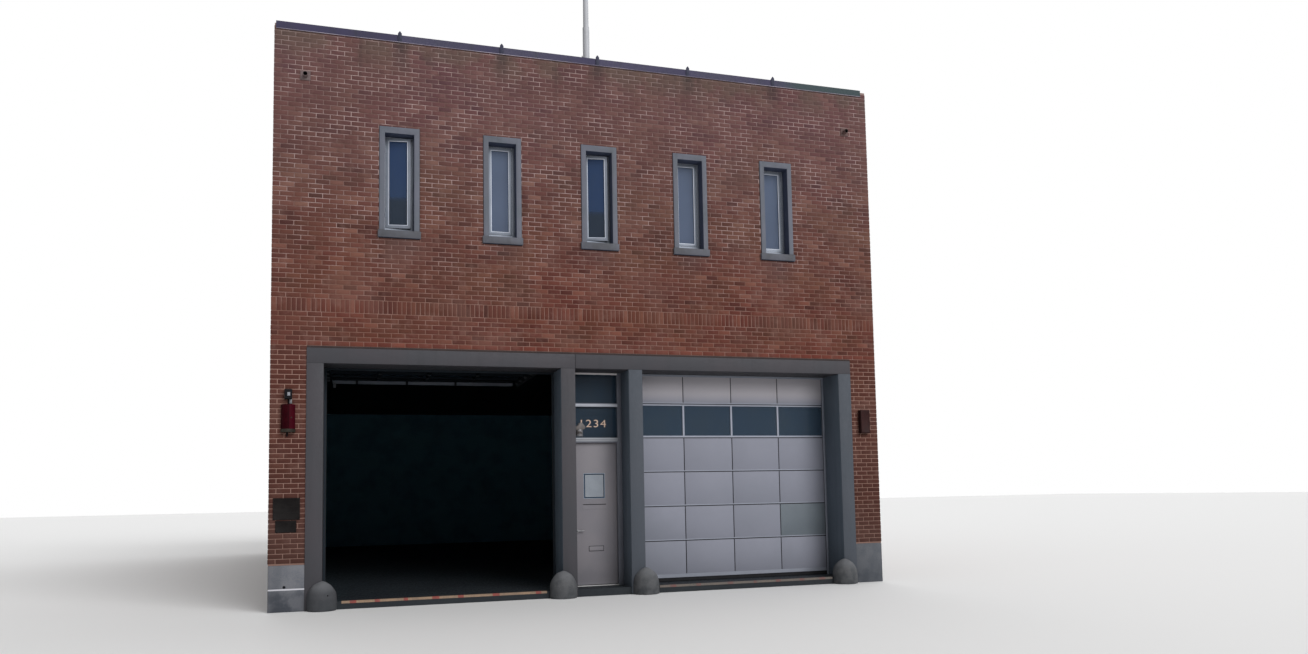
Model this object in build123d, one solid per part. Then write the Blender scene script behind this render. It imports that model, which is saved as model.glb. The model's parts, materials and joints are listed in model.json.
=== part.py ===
# Two-storey brick fire station in a row of buildings, with a grey portal that holds
# two sectional overhead doors and an entry door between them.
# X runs across the front, Y from the street to the rear, Z up from the lowest ground.
# The origin is on the ground at the centre of the plan.
from build123d import *
import os

os.makedirs("parts", exist_ok=True)

# Building shell, all sizes in millimetres
building_width = 10480
building_depth = 18290
wall_thickness = 330
party_wall_thickness = 300
ground_floor_level = 120
floor_over_portal = 760
upper_floor_thickness = 300
upper_storey_height = 3500
roof_thickness = 250
parapet_rise = 900

# Metal coping on the parapet
coping_sheet = 8
coping_cap = 40
coping_fascia = 126
coping_inner_fascia = 90
coping_end_inset = 18
coping_right_inset = 92
drip_projection = 10
drip_height = 14
seam_width = 38
seam_shoulder = 8
seam_rise = 46

# Roofing tray inside the parapet
membrane_thickness = 15
membrane_upstand = 220

# Grey portal round the ground-floor openings
pier_width = 522
portal_height = 4040
lintel_height = 240
jamb_width = 251
post_width = 244
entry_width = 934
portal_recess = 596
portal_projection = 20

# Concrete base blocks under the brick piers
plinth_height = 700
plinth_projection = 14
plinth_weathering = 12

# Windows of the upper storey
window_count = 5
window_pitch = 1665
surround_width = 629
window_sill_rise = 1051
surround_height = 1829
surround_side = 85
surround_head = 105
surround_sill = 118
surround_projection = 22
sill_nose = 26
sill_ear = 20
window_setback = 185
window_frame_left = 14
window_frame_right = 40
window_frame_head = 12
window_frame_foot = 86
window_frame_depth = 70
window_stop = 10
sash_face = 52
sash_depth = 38
sash_clearance = 4
glass_thickness = 6
sash_barrel_radius = 6
sash_barrel_length = 70
sash_barrel_inset = 180
ajar_windows = (0, 2)
ajar_angle = 8

# Sectional overhead doors
section_count = 6
glazed_index = 4
section_gap = 3
section_thickness = 44
column_count = 4
door_edge_reveal = 22
door_side_lap = 38
door_head_lap = 90
door_clearance = 6
frame_rail = 46
frame_mullion = 60
panel_thickness = 10
panel_groove = 16
panel_lip = 20
panel_top_gap = 5
glazed_rail = 34
glazed_mullion = 34
glass_setback = 14
bottom_rail = 43
seal_height = 68
seal_width = 36
seal_side_gap = 2
seal_round = 12
seal_play = 0.3
tongue_radius = 9
tongue_clearance = 1

# Tracks, rollers, hinges and spring shafts of the overhead doors
track_radius = 300
track_headroom = 240
track_width = 52
track_depth = 32
track_sheet = 3
track_lip = 14
track_offset = 45
track_foot = 25
track_tail = 260
track_hanger_width = 40
track_bracket_count = 3
front_hanger_offset = 1230
roller_play = 0.3
roller_width = 14
roller_standoff = 20
roller_stem_radius = 5.5
roller_inset = 60
hinge_plate_width = 60
hinge_plate_height = 110
hinge_plate_thickness = 5
hinge_barrel_radius = 7.5
shaft_rise = 290
shaft_radius = 13
shaft_standoff = 80
drum_radius = 70
drum_width = 60
spring_radius = 42
spring_length = 1100
spring_gap = 120
bearing_plate = 10
bearing_plate_height = 120

# Entry door, its frame and its furniture
entry_frame_face = 72
entry_frame_depth = 110
entry_stop = 16
entry_leaf_top = 2590
entry_low_bar = 69
entry_high_bar_level = 3205
entry_high_bar = 59
entry_head = 30
leaf_thickness = 45
leaf_clearance = 5
leaf_floor_gap = 8
threshold_height = 12
transom_glass_thickness = 8
butt_count = 3
knuckle_count = 3
butt_length = 100
butt_end_inset = 230
butt_leaf_width = 30
butt_leaf_thickness = 3
knuckle_radius = 8
knuckle_gap = 1
butt_pin_radius = 4
butt_pin_clearance = 0.05
lever_rise = 920
lever_inset = 62
rose_radius = 26
rose_thickness = 8
lever_length = 118
lever_radius = 9
lever_standoff = 52
mail_slot_width = 250
mail_slot_height = 75
mail_slot_rise = 575
mail_slot_thickness = 6
mail_slot_bevel = 2

# Domed wheel guards at the feet of the jambs and posts
guard_radius = 222
guard_height = 445
guard_shoulder = 170

# Fixtures on the brick piers
lamp_box_width = 108
lamp_box_height = 150
lamp_box_depth = 85
lamp_box_level = 3306
lamp_box_round = 9
alarm_width = 200
alarm_height = 430
alarm_depth = 120
alarm_level = 2933
alarm_base_height = 50
alarm_base_lip = 7
pier_fixture_inset = 264
conduit_radius = 9
side_box_width = 190
side_box_height = 428
side_box_depth = 95
side_box_level = 2918
side_box_round = 12
side_box_inset = 285

# Overflow pipes through the parapet
overflow_radius = 38
overflow_wall = 5
overflow_projection = 95
overflow_rise = 73
overflow_inset = 462
overflow_plate = 150
overflow_plate_thickness = 12

# Lamp on the inner side of the left post
post_lamp_level = 2790
post_lamp_depth = 120
post_lamp_base_radius = 42
post_lamp_base = 18
post_lamp_arm_radius = 9
post_lamp_arm = 70
post_lamp_head_radius = 55
post_lamp_neck_radius = 22
post_lamp_head_length = 130
post_lamp_tilt = 35

# Flagpole behind the parapet
pole_setback = 640
pole_offset = -36
pole_radius = 60
pole_sleeve_height = 1790
pole_upper_radius = 50
pole_tip_radius = 30
pole_height = 6100
pole_flange_radius = 190
pole_flange = 24
pole_truck_radius = 55
pole_truck_height = 50
pole_ball_radius = 75
pole_ball_seat = 8

# Places worked out from the sizes
front = -building_depth / 2
rear = building_depth / 2
half_width = building_width / 2
inner_half_width = half_width - party_wall_thickness
hall_front = front + wall_thickness
hall_rear = rear - wall_thickness
upper_floor_level = portal_height + floor_over_portal
roof_level = upper_floor_level + upper_storey_height
parapet_height = roof_level + parapet_rise
coping_top = parapet_height + coping_cap
surround_bottom = upper_floor_level + window_sill_rise
roof_surface = roof_level + membrane_thickness
overflow_level = roof_surface + overflow_rise
ceiling_level = upper_floor_level - upper_floor_thickness
portal_half = half_width - pier_width
portal_front = front - portal_projection
portal_back = front + portal_recess
lintel_underside = portal_height - lintel_height
entry_half = entry_width / 2
bay_inner = entry_half + post_width
bay_outer = portal_half - jamb_width
bay_centre = (bay_inner + bay_outer) / 2
bay_half = (bay_outer - bay_inner) / 2
column_width = 2 * (bay_half - door_edge_reveal) / column_count
door_half = bay_half + door_side_lap
door_face = portal_back + door_clearance
door_bottom = ground_floor_level + seal_height
section_base = door_bottom + bottom_rail
section_height = (lintel_underside + door_head_lap - section_base) / section_count
track_level = lintel_underside + track_headroom
top_roller_inset = door_head_lap - track_headroom + track_radius
roller_depth = panel_thickness + section_thickness + roller_standoff
roller_radius = track_width / 2 - track_sheet - roller_play
door_length = bottom_rail + section_count * section_height


def block(x0, x1, y0, y1, z0, z1):
    """A box given by its lowest and highest corners."""
    centre = Pos((x0 + x1) / 2, (y0 + y1) / 2, (z0 + z1) / 2)
    return centre * Box(x1 - x0, y1 - y0, z1 - z0)


def rod(radius, length, place, direction=(0, 0, 1)):
    """A cylinder that starts at a place and runs along a direction."""
    return extrude(Plane(place, z_dir=direction) * Circle(radius), length)


def save(name, shapes):
    """Writes one named piece, made of one solid or of several that don't touch."""
    if not isinstance(shapes, (list, tuple)):
        shapes = [shapes]
    solids = [solid for shape in shapes for solid in shape.solids()]
    export_step(solids[0] if len(solids) == 1 else Compound(solids), f"parts/{name}.step")


def evenly(count, start, end):
    """Places for a row of like pieces, from start to end."""
    return [start + (end - start) * index / (count - 1) for index in range(count)]


window_row = evenly(window_count, -(window_count - 1) / 2 * window_pitch,
                    (window_count - 1) / 2 * window_pitch)


# Shell of the building
def window_holes(y0, y1):
    half = surround_width / 2
    top = surround_bottom + surround_height
    return [block(x - half, x + half, y0, y1, surround_bottom, top) for x in window_row]


def overflow_holes(y0, length):
    x = half_width - overflow_inset
    return [rod(overflow_radius, length, (side * x, y0, overflow_level), (0, 1, 0)) for side in (-1, 1)]


def make_front_wall():
    wall = block(-half_width, half_width, front, hall_front, portal_height, parapet_height)
    for hole in window_holes(front, hall_front) + overflow_holes(front, wall_thickness):
        wall -= hole
    return wall


def make_rear_wall():
    wall = block(-half_width, half_width, hall_rear, rear, 0, parapet_height)
    for hole in window_holes(hall_rear, rear):
        wall -= hole
    return wall


def make_pier(side):
    x0, x1 = sorted((side * portal_half, side * half_width))
    return block(x0, x1, front, hall_front, plinth_height, portal_height)


def make_plinths():
    plinths = []
    for side in (-1, 1):
        x0, x1 = sorted((side * portal_half, side * half_width))
        base = block(x0, x1, front - plinth_projection, hall_front, 0, plinth_height)
        top_front = base.edges().filter_by(Axis.X).group_by(Axis.Y)[0].sort_by(Axis.Z)[-1]
        plinths.append(chamfer(top_front, plinth_weathering))
    return plinths


def make_party_wall(side):
    x0, x1 = sorted((side * inner_half_width, side * half_width))
    return block(x0, x1, hall_front, hall_rear, 0, parapet_height)


def make_ground_slab(feet):
    slab = block(-inner_half_width, inner_half_width, hall_front, hall_rear, 0, ground_floor_level)
    slab += block(-bay_outer, bay_outer, front, hall_front, 0, ground_floor_level)
    for foot in feet:
        slab -= foot
    return slab


def make_floor(top, thickness):
    return block(-inner_half_width, inner_half_width, hall_front, hall_rear, top - thickness, top)


def make_membrane():
    inset = membrane_thickness
    rim = roof_level + membrane_upstand
    tray = block(-inner_half_width, inner_half_width, hall_front, hall_rear, roof_level, rim)
    tray -= block(-inner_half_width + inset, inner_half_width - inset,
                  hall_front + inset, hall_rear - inset, roof_surface, rim)
    for hole in overflow_holes(hall_front, inset):
        tray -= hole
    return tray


# Coping: an inverted channel over the parapet, with a drip at its outer edge
def coping_outline(thickness, drip):
    """Points across the wall, from its outer face inwards, each with its height."""
    bottom = coping_top - coping_fascia
    inner_bottom = coping_top - coping_inner_fascia
    outline = [
        (-coping_sheet, coping_top),
        (thickness + coping_sheet, coping_top - coping_sheet),
        (thickness + coping_sheet, inner_bottom),
        (thickness, inner_bottom),
        (thickness, parapet_height),
        (0, parapet_height),
        (0, bottom),
        (-coping_sheet - drip, bottom),
    ]
    if drip:
        outline += [(-coping_sheet - drip, bottom + coping_sheet), (-coping_sheet, bottom + drip_height)]
    return outline


def make_seam(x, y0, y1):
    """A cover over a joint of the coping, with a gabled top."""
    half, foot, shoulder = seam_width / 2, coping_top - coping_fascia, coping_top + seam_shoulder
    points = [(x - half, foot), (x + half, foot), (x + half, shoulder),
              (x, coping_top + seam_rise), (x - half, shoulder)]
    face = make_face(Polyline(points, close=True))
    return extrude(Plane.XZ.offset(-y0) * face, y1 - y0, dir=(0, 1, 0))


def make_cross_coping(face_y, inwards, right_inset):
    """Coping along the front or rear wall; inwards is 1 or -1 along Y."""
    outline = coping_outline(wall_thickness, drip_projection)
    points = [(face_y + inwards * across, height) for across, height in outline]
    length = building_width - coping_end_inset - right_inset
    start = Plane.YZ.offset(-half_width + coping_end_inset)
    cap = extrude(start * make_face(Polyline(points, close=True)), length)
    outer = face_y - inwards * (coping_sheet + drip_projection)
    inner = face_y + inwards * wall_thickness
    masonry = block(-half_width, half_width, *sorted((face_y, inner)), 0, parapet_height)
    for x in window_row:
        cap += make_seam(x, *sorted((outer, inner + inwards * coping_sheet))) - masonry
    for side in (-1, 1):
        x0, x1 = sorted((side * inner_half_width, side * half_width))
        cap -= block(x0, x1, *sorted((inner, inner + inwards * coping_sheet)), 0, parapet_height)
    return cap


def make_side_copings():
    copings = []
    length = hall_rear - hall_front - 2 * coping_sheet
    start = Plane.XZ.offset(-(hall_front + coping_sheet))
    for side in (-1, 1):
        points = [(side * (half_width - across), height)
                  for across, height in coping_outline(party_wall_thickness, 0)]
        face = make_face(Polyline(points, close=True))
        copings.append(extrude(start * face, length, dir=(0, 1, 0)))
    return copings


# Portal
def make_lintel():
    return block(-portal_half, portal_half, portal_front, portal_back, lintel_underside, portal_height)


def make_upright(x0, x1):
    return block(x0, x1, portal_front, portal_back, 0, lintel_underside)


# Windows, drawn at the front wall round x = 0 with depths from the brick face
def surround_outline():
    opening_half = surround_width / 2 - surround_side
    opening_bottom = surround_bottom + surround_sill
    opening_top = surround_bottom + surround_height - surround_head
    return opening_half, opening_bottom, opening_top


def make_surround():
    half, bottom, top = surround_outline()
    outer = surround_width / 2
    lining = block(-outer, outer, -surround_projection, wall_thickness,
                   surround_bottom, surround_bottom + surround_height)
    lining -= block(-half, half, -surround_projection, wall_thickness, bottom, top)
    nose = block(-outer - sill_ear, outer + sill_ear, -surround_projection - sill_nose, 0,
                 surround_bottom, bottom)
    return lining + nose


def frame_opening():
    """Left, right, foot and head of the hole that the sash closes."""
    half, bottom, top = surround_outline()
    return (window_frame_left - half, half - window_frame_right,
            bottom + window_frame_foot, top - window_frame_head)


def make_window_frame():
    half, bottom, top = surround_outline()
    left, right, foot, head = frame_opening()
    y0, y1 = window_setback, window_setback + window_frame_depth
    frame = block(-half, half, y0, y1, bottom, top)
    frame -= block(left, right, y0, y0 + sash_depth, foot, head)
    frame -= block(left + window_stop, right - window_stop, y0 + sash_depth, y1,
                   foot + window_stop, head - window_stop)
    return frame


def sash_size():
    left, right, foot, head = frame_opening()
    return left + sash_clearance, right - sash_clearance, foot + sash_clearance, head - sash_clearance


def sash_turn(ajar):
    """Turns a sash outwards about its side barrels when it stands ajar."""
    pivot = Pos(sash_size()[0], window_setback - sash_barrel_radius, 0)
    return pivot * Rot(0, 0, -ajar_angle if ajar else 0) * pivot.inverse()


def make_sash(ajar):
    left, right, foot, head = sash_size()
    y0, y1 = window_setback, window_setback + sash_depth
    sash = block(left, right, y0, y1, foot, head)
    sash -= block(left + sash_face, right - sash_face, y0, y1, foot + sash_face, head - sash_face)
    return sash_turn(ajar) * sash


def make_sash_glass(ajar):
    left, right, foot, head = sash_size()
    y0 = window_setback + (sash_depth - glass_thickness) / 2
    pane = block(left + sash_face, right - sash_face, y0, y0 + glass_thickness,
                 foot + sash_face, head - sash_face)
    return sash_turn(ajar) * pane


def make_sash_barrels():
    left, right, foot, head = sash_size()
    y = window_setback - sash_barrel_radius
    levels = (foot + sash_barrel_inset, head - sash_barrel_inset - sash_barrel_length)
    return [rod(sash_barrel_radius, sash_barrel_length, (left, y, level)) for level in levels]


def both_walls(make_piece, turns=False):
    """Copies of a window piece in every hole of the front and rear walls."""
    pieces = []
    for index, x in enumerate(window_row):
        piece = make_piece(index in ajar_windows) if turns else make_piece()
        pieces.append(Pos(x, front, 0) * piece)
        closed = make_piece(False) if turns else piece
        pieces.append(Pos(x, rear, 0) * Rot(0, 0, 180) * closed)
    return pieces


# Overhead doors, drawn with x from the door's centre, y from its outer face inwards
# and z from the foot of the lowest module, then hung closed or raised under the ceiling
column_lines = evenly(column_count + 1, -column_count * column_width / 2, column_count * column_width / 2)


def section_span(index):
    """Foot and top of one section."""
    foot = index * section_height if index else -bottom_rail
    return foot, (index + 1) * section_height - section_gap


def make_section(index):
    foot, top = section_span(index)
    glazed = index == glazed_index
    y0 = 0 if glazed else panel_thickness
    y1 = panel_thickness + section_thickness
    rail = glazed_rail if glazed else frame_rail
    mullion = glazed_mullion if glazed else frame_mullion
    base = index * section_height
    section = block(-door_half, door_half, y0, y1, foot, top)
    for left, right in zip(column_lines, column_lines[1:]):
        section -= block(left + mullion / 2, right - mullion / 2, y0, y1, base + rail, top - rail)
    if not glazed:
        section += block(-door_half, door_half, 0, y0, foot, base + panel_lip)
        edge = column_lines[-1] + panel_groove / 2
        for side in (-1, 1):
            section += block(*sorted((side * edge, side * door_half)), 0, y0, foot, top)
    middle = panel_thickness + section_thickness / 2
    if index:
        groove = tongue_radius + tongue_clearance
        section -= rod(groove, 2 * door_half, (-door_half, middle, foot - section_gap), (1, 0, 0))
    if index < section_count - 1:
        section += rod(tongue_radius, 2 * door_half, (-door_half, middle, top), (1, 0, 0))
    return section


def make_panels(index):
    foot, top = section_span(index)
    base = index * section_height
    return [block(left + panel_groove / 2, right - panel_groove / 2, 0, panel_thickness,
                  base + panel_lip, top - panel_top_gap)
            for left, right in zip(column_lines, column_lines[1:])]


def make_door_glass():
    foot, top = section_span(glazed_index)
    return [block(left + glazed_mullion / 2, right - glazed_mullion / 2,
                  glass_setback, glass_setback + glass_thickness, foot + glazed_rail, top - glazed_rail)
            for left, right in zip(column_lines, column_lines[1:])]


def make_seal():
    middle = panel_thickness + section_thickness / 2
    bulb = block(-bay_half + seal_side_gap, bay_half - seal_side_gap,
                 middle - seal_width / 2, middle + seal_width / 2,
                 -bottom_rail - seal_height + seal_play, -bottom_rail)
    lower_edges = bulb.edges().filter_by(Axis.X).group_by(Axis.Z)[0]
    return fillet(lower_edges, seal_round)


def joint_heights():
    return [index * section_height - section_gap / 2 for index in range(1, section_count)]


def make_centre_hinges():
    inner = panel_thickness + section_thickness
    plates = []
    for height in joint_heights():
        for x in column_lines[1:-1]:
            plate = block(x - hinge_plate_width / 2, x + hinge_plate_width / 2,
                          inner, inner + hinge_plate_thickness,
                          height - hinge_plate_height / 2, height + hinge_plate_height / 2)
            barrel = rod(hinge_barrel_radius, hinge_plate_width,
                         (x - hinge_plate_width / 2, inner + hinge_plate_thickness, height), (1, 0, 0))
            door = block(x - hinge_plate_width, x + hinge_plate_width, 0, inner,
                         height - hinge_plate_height, height + hinge_plate_height)
            plates.append(plate + (barrel - door))
    return plates


def make_roller_hinges():
    """End hinges, each with the stem and wheel that run in the track."""
    inner = panel_thickness + section_thickness
    ends = [roller_inset - bottom_rail, section_count * section_height - top_roller_inset]
    hinges = []
    for height in joint_heights() + ends:
        for side in (-1, 1):
            x0, x1 = sorted((side * (door_half - hinge_plate_width), side * door_half))
            hinge = block(x0, x1, inner, inner + hinge_plate_thickness,
                          height - hinge_plate_height / 2, height + hinge_plate_height / 2)
            hinge += block(x0, x1, inner, inner + roller_standoff + roller_stem_radius * 2,
                           height - roller_stem_radius * 2, height + roller_stem_radius * 2)
            start = (side * door_half, roller_depth, height)
            hinge += rod(roller_stem_radius, track_offset, start, (side, 0, 0))
            wheel = (side * (door_half + track_offset - roller_width / 2), roller_depth, height)
            hinge += rod(roller_radius, roller_width, wheel, (side, 0, 0))
            hinges.append(hinge)
    return hinges


def hang(bay, shape):
    """Closed: the door stands behind the portal."""
    return Pos(bay, door_face, section_base) * shape


def raise_up(bay, shape):
    """Open: the door lies in the horizontal tracks, outer face up."""
    start = door_face + roller_depth + track_radius - roller_inset
    level = track_level + roller_depth
    return Pos(bay, start + bottom_rail, level) * Rot(-90, 0, 0) * shape


def track_section(side):
    """Lipped channel round the roller, open towards the door."""
    web = side * track_depth / 2
    mouth = -web
    inner_web = web - side * track_sheet
    half = track_width / 2
    points = [
        (mouth, -half), (web, -half), (web, half), (mouth, half), (mouth, half - track_lip),
        (mouth + side * track_sheet, half - track_lip), (mouth + side * track_sheet, half - track_sheet),
        (inner_web, half - track_sheet), (inner_web, -half + track_sheet),
        (mouth + side * track_sheet, -half + track_sheet), (mouth + side * track_sheet, -half + track_lip),
        (mouth, -half + track_lip),
    ]
    return make_face(Polyline(points, close=True))


def make_tracks(bay):
    """Left and right tracks of one bay, with their brackets and hangers."""
    depth = door_face + roller_depth
    foot = ground_floor_level + track_foot
    bend = track_level - track_radius
    tail = depth + track_radius + door_length + track_tail
    tracks = []
    for side in (-1, 1):
        x = bay + side * (door_half + track_offset)
        corner = (x, depth + track_radius, track_level)
        run = Line((x, depth, foot), (x, depth, bend))
        curve = TangentArc((x, depth, bend), corner, tangent=(0, 0, 1))
        rails = Wire([run, curve, Line(corner, (x, tail, track_level))])
        channel = sweep(Plane((x, depth, foot)) * track_section(side), rails)
        web = x + side * track_depth / 2
        x0, x1 = sorted((web, web + side * track_sheet * 2))
        low = foot + track_hanger_width
        for height in evenly(track_bracket_count, low, bend - track_hanger_width):
            channel += block(x0, x1, portal_back, depth + track_width / 2,
                             height, height + track_hanger_width)
        for y in (depth + track_radius + front_hanger_offset, tail - track_hanger_width):
            channel += block(x0, x1, y, y + track_hanger_width,
                             track_level - track_width / 2, ceiling_level)
        tracks.append(channel)
    return tracks


def make_spring_shaft(bay):
    depth = portal_back + shaft_standoff
    level = track_level + shaft_rise
    reach = door_half + track_offset
    shaft = rod(shaft_radius, 2 * reach, (bay - reach, depth, level), (1, 0, 0))
    for side in (-1, 1):
        drum = (bay + side * (reach - drum_width), depth, level)
        shaft += rod(drum_radius, drum_width, drum, (side, 0, 0))
        spring = (bay + side * spring_gap / 2, depth, level)
        shaft += rod(spring_radius, spring_length, spring, (side, 0, 0))
    plates = [bay - bearing_plate / 2] + [bay + side * (reach - 2 * drum_width) for side in (-1, 1)]
    for x in plates:
        shaft += block(x, x + bearing_plate, hall_front, depth + bearing_plate_height / 2,
                       level - bearing_plate_height / 2, level + bearing_plate_height / 2)
    return shaft


# Entry door between the posts
entry_back = portal_back
entry_face = entry_back - entry_frame_depth
leaf_half = entry_half - entry_frame_face - leaf_clearance
leaf_back = entry_back
leaf_face = leaf_back - leaf_thickness
leaf_foot = ground_floor_level + threshold_height + leaf_floor_gap
hinge_x = leaf_half + leaf_clearance / 2
hinge_y = leaf_back + knuckle_radius


def transom_panes():
    """Foot and head of the lower and the upper pane over the door."""
    low = (entry_leaf_top + entry_low_bar, entry_high_bar_level)
    high = (entry_high_bar_level + entry_high_bar, lintel_underside - entry_head)
    return low, high


def make_entry_frame():
    frame = block(-entry_half, entry_half, entry_face, entry_back, ground_floor_level, lintel_underside)
    half = entry_half - entry_frame_face
    stop_front, stop_back = entry_face, leaf_face - leaf_clearance
    door_top = entry_leaf_top + leaf_clearance
    frame -= block(-half, half, stop_back, entry_back, ground_floor_level, door_top)
    frame -= block(-half + entry_stop, half - entry_stop, stop_front, stop_back,
                   ground_floor_level, door_top - entry_stop)
    for bottom, top in transom_panes():
        frame -= block(-half, half, entry_face, entry_back, bottom, top)
    return frame


def make_transom_glass():
    half = entry_half - entry_frame_face
    y0 = entry_face + (entry_frame_depth - transom_glass_thickness) / 2
    return [block(-half, half, y0, y0 + transom_glass_thickness, bottom, top)
            for bottom, top in transom_panes()]


def make_threshold(frame):
    half = entry_half - entry_frame_face
    return block(-half, half, entry_face, entry_back, ground_floor_level,
                 ground_floor_level + threshold_height) - frame


def make_leaf():
    return block(-leaf_half, leaf_half, leaf_face, leaf_back, leaf_foot, entry_leaf_top)


def butt_levels():
    low = leaf_foot + butt_end_inset
    high = entry_leaf_top - butt_end_inset - butt_length
    return evenly(butt_count, low, high)


def make_frame_butts():
    """Hinge halves on the frame: the outer knuckles and the pin."""
    butts = []
    knuckle = butt_length / knuckle_count
    reach = knuckle_radius + knuckle_gap
    y0, y1 = leaf_back, leaf_back + butt_leaf_thickness
    for level in butt_levels():
        flap = block(hinge_x + reach, hinge_x + reach + butt_leaf_width, y0, y1, level, level + butt_length)
        butt = flap + rod(butt_pin_radius, butt_length, (hinge_x, hinge_y, level))
        for foot in (level, level + 2 * knuckle):
            butt += rod(knuckle_radius, knuckle, (hinge_x, hinge_y, foot))
            butt += block(hinge_x, hinge_x + reach + knuckle_gap, y0, y1, foot, foot + knuckle)
        butts.append(butt)
    return butts


def make_leaf_butts():
    """Hinge halves on the leaf: the middle knuckle turns round the pin."""
    butts = []
    knuckle = butt_length / knuckle_count
    reach = knuckle_radius + knuckle_gap
    bore = butt_pin_radius + butt_pin_clearance
    y0, y1 = leaf_back, leaf_back + butt_leaf_thickness
    for level in butt_levels():
        foot = level + knuckle + knuckle_gap
        length = knuckle - 2 * knuckle_gap
        butt = block(hinge_x - reach - butt_leaf_width, hinge_x - reach, y0, y1, level, level + butt_length)
        butt += rod(knuckle_radius, length, (hinge_x, hinge_y, foot))
        butt += block(hinge_x - reach - knuckle_gap, hinge_x, y0, y1, foot, foot + length)
        butt -= rod(bore, butt_length, (hinge_x, hinge_y, level))
        butts.append(butt)
    return butts


def make_levers():
    x = -leaf_half + lever_inset
    level = leaf_foot + lever_rise
    levers = []
    for face, outwards in ((leaf_face, -1), (leaf_back, 1)):
        rose = rod(rose_radius, rose_thickness, (x, face, level), (0, outwards, 0))
        neck = rod(lever_radius, lever_standoff, (x, face, level), (0, outwards, 0))
        grip_y = face + outwards * (lever_standoff - lever_radius)
        grip = rod(lever_radius, lever_length, (x - lever_radius, grip_y, level), (1, 0, 0))
        levers.append(rose + neck + grip)
    return levers


def make_mail_slot():
    level = leaf_foot + mail_slot_rise
    plate = block(-mail_slot_width / 2, mail_slot_width / 2, leaf_face - mail_slot_thickness, leaf_face,
                  level, level + mail_slot_height)
    return chamfer(plate.faces().sort_by(Axis.Y)[0].edges(), mail_slot_bevel)


# Wheel guards
def make_guards(feet):
    profile = make_face([
        Line((0, 0), (guard_radius, 0)),
        Line((guard_radius, 0), (guard_radius, guard_shoulder)),
        TangentArc((guard_radius, guard_shoulder), (0, guard_height), tangent=(0, 1)),
        Line((0, guard_height), (0, 0)),
    ])
    dome = revolve(Plane.XZ * profile, Axis.Z)
    guards = []
    for x in (-bay_outer, -bay_inner, bay_inner, bay_outer):
        guard = Pos(x, portal_front, 0) * dome
        for foot in feet:
            guard -= foot
        guards.append(guard)
    return guards


# Fixtures
pier_fixture_x = -half_width + pier_fixture_inset


def make_lamp_box():
    x0, x1 = pier_fixture_x - lamp_box_width / 2, pier_fixture_x + lamp_box_width / 2
    z0 = lamp_box_level - lamp_box_height / 2
    box = block(x0, x1, front - lamp_box_depth, front, z0, z0 + lamp_box_height)
    box = fillet(box.faces().sort_by(Axis.Y)[0].edges(), lamp_box_round)
    conduit_foot = alarm_level + alarm_height / 2
    conduit = (pier_fixture_x, front - conduit_radius, conduit_foot)
    return box + rod(conduit_radius, z0 - conduit_foot, conduit)


def alarm_outline(lip):
    half = alarm_width / 2 + lip
    return make_face([
        Line((-half, 0), (half, 0)),
        ThreePointArc((half, 0), (0, -alarm_depth - lip), (-half, 0)),
    ])


def make_alarm():
    """Half-round housing on a slightly wider base."""
    body = extrude(alarm_outline(0), alarm_height)
    body += extrude(alarm_outline(alarm_base_lip), alarm_base_height)
    return Pos(pier_fixture_x, front, alarm_level - alarm_height / 2) * body


def make_side_box():
    x = half_width - side_box_inset
    z0 = side_box_level - side_box_height / 2
    box = block(x - side_box_width / 2, x + side_box_width / 2, front - side_box_depth, front,
                z0, z0 + side_box_height)
    return fillet(box.faces().sort_by(Axis.Y)[0].edges(), side_box_round)


def make_overflow_pipes():
    pipes = []
    inner_end = hall_front + membrane_thickness
    start = front - overflow_projection
    for side in (-1, 1):
        x = side * (half_width - overflow_inset)
        place = (x, start, overflow_level)
        pipe = rod(overflow_radius, inner_end - start, place, (0, 1, 0))
        half = overflow_plate / 2
        pipe += block(x - half, x + half, front - overflow_plate_thickness, front,
                      overflow_level - half, overflow_level + half)
        pipe -= rod(overflow_radius - overflow_wall, inner_end - start, place, (0, 1, 0))
        pipes.append(pipe)
    return pipes


def make_post_lamp():
    wall_x = -entry_half
    y = front + post_lamp_depth
    lamp = rod(post_lamp_base_radius, post_lamp_base, (wall_x, y, post_lamp_level), (1, 0, 0))
    lamp += rod(post_lamp_arm_radius, post_lamp_arm, (wall_x, y, post_lamp_level), (1, 0, 0))
    head = make_face(Polyline([
        (0, 0), (post_lamp_neck_radius, 0), (post_lamp_head_radius, -post_lamp_head_length),
        (0, -post_lamp_head_length)], close=True))
    shade = revolve(Plane.XZ * head, Axis.Z)
    tip = Pos(wall_x + post_lamp_arm, y, post_lamp_level + post_lamp_arm_radius)
    return lamp + tip * Rot(-post_lamp_tilt, 0, 0) * shade


def make_flagpole():
    top = pole_height
    ball_centre = top + pole_truck_height + pole_ball_radius - pole_ball_seat
    profile = make_face(Polyline([
        (0, 0), (pole_flange_radius, 0), (pole_flange_radius, pole_flange), (pole_radius, pole_flange),
        (pole_radius, pole_sleeve_height), (pole_upper_radius, pole_sleeve_height),
        (pole_tip_radius, top), (pole_truck_radius, top), (pole_truck_radius, top + pole_truck_height),
        (0, top + pole_truck_height)], close=True))
    pole = revolve(Plane.XZ * profile, Axis.Z)
    pole += Pos(0, 0, ball_centre) * Sphere(pole_ball_radius)
    return Pos(pole_offset, front + pole_setback, roof_surface) * pole


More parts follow.
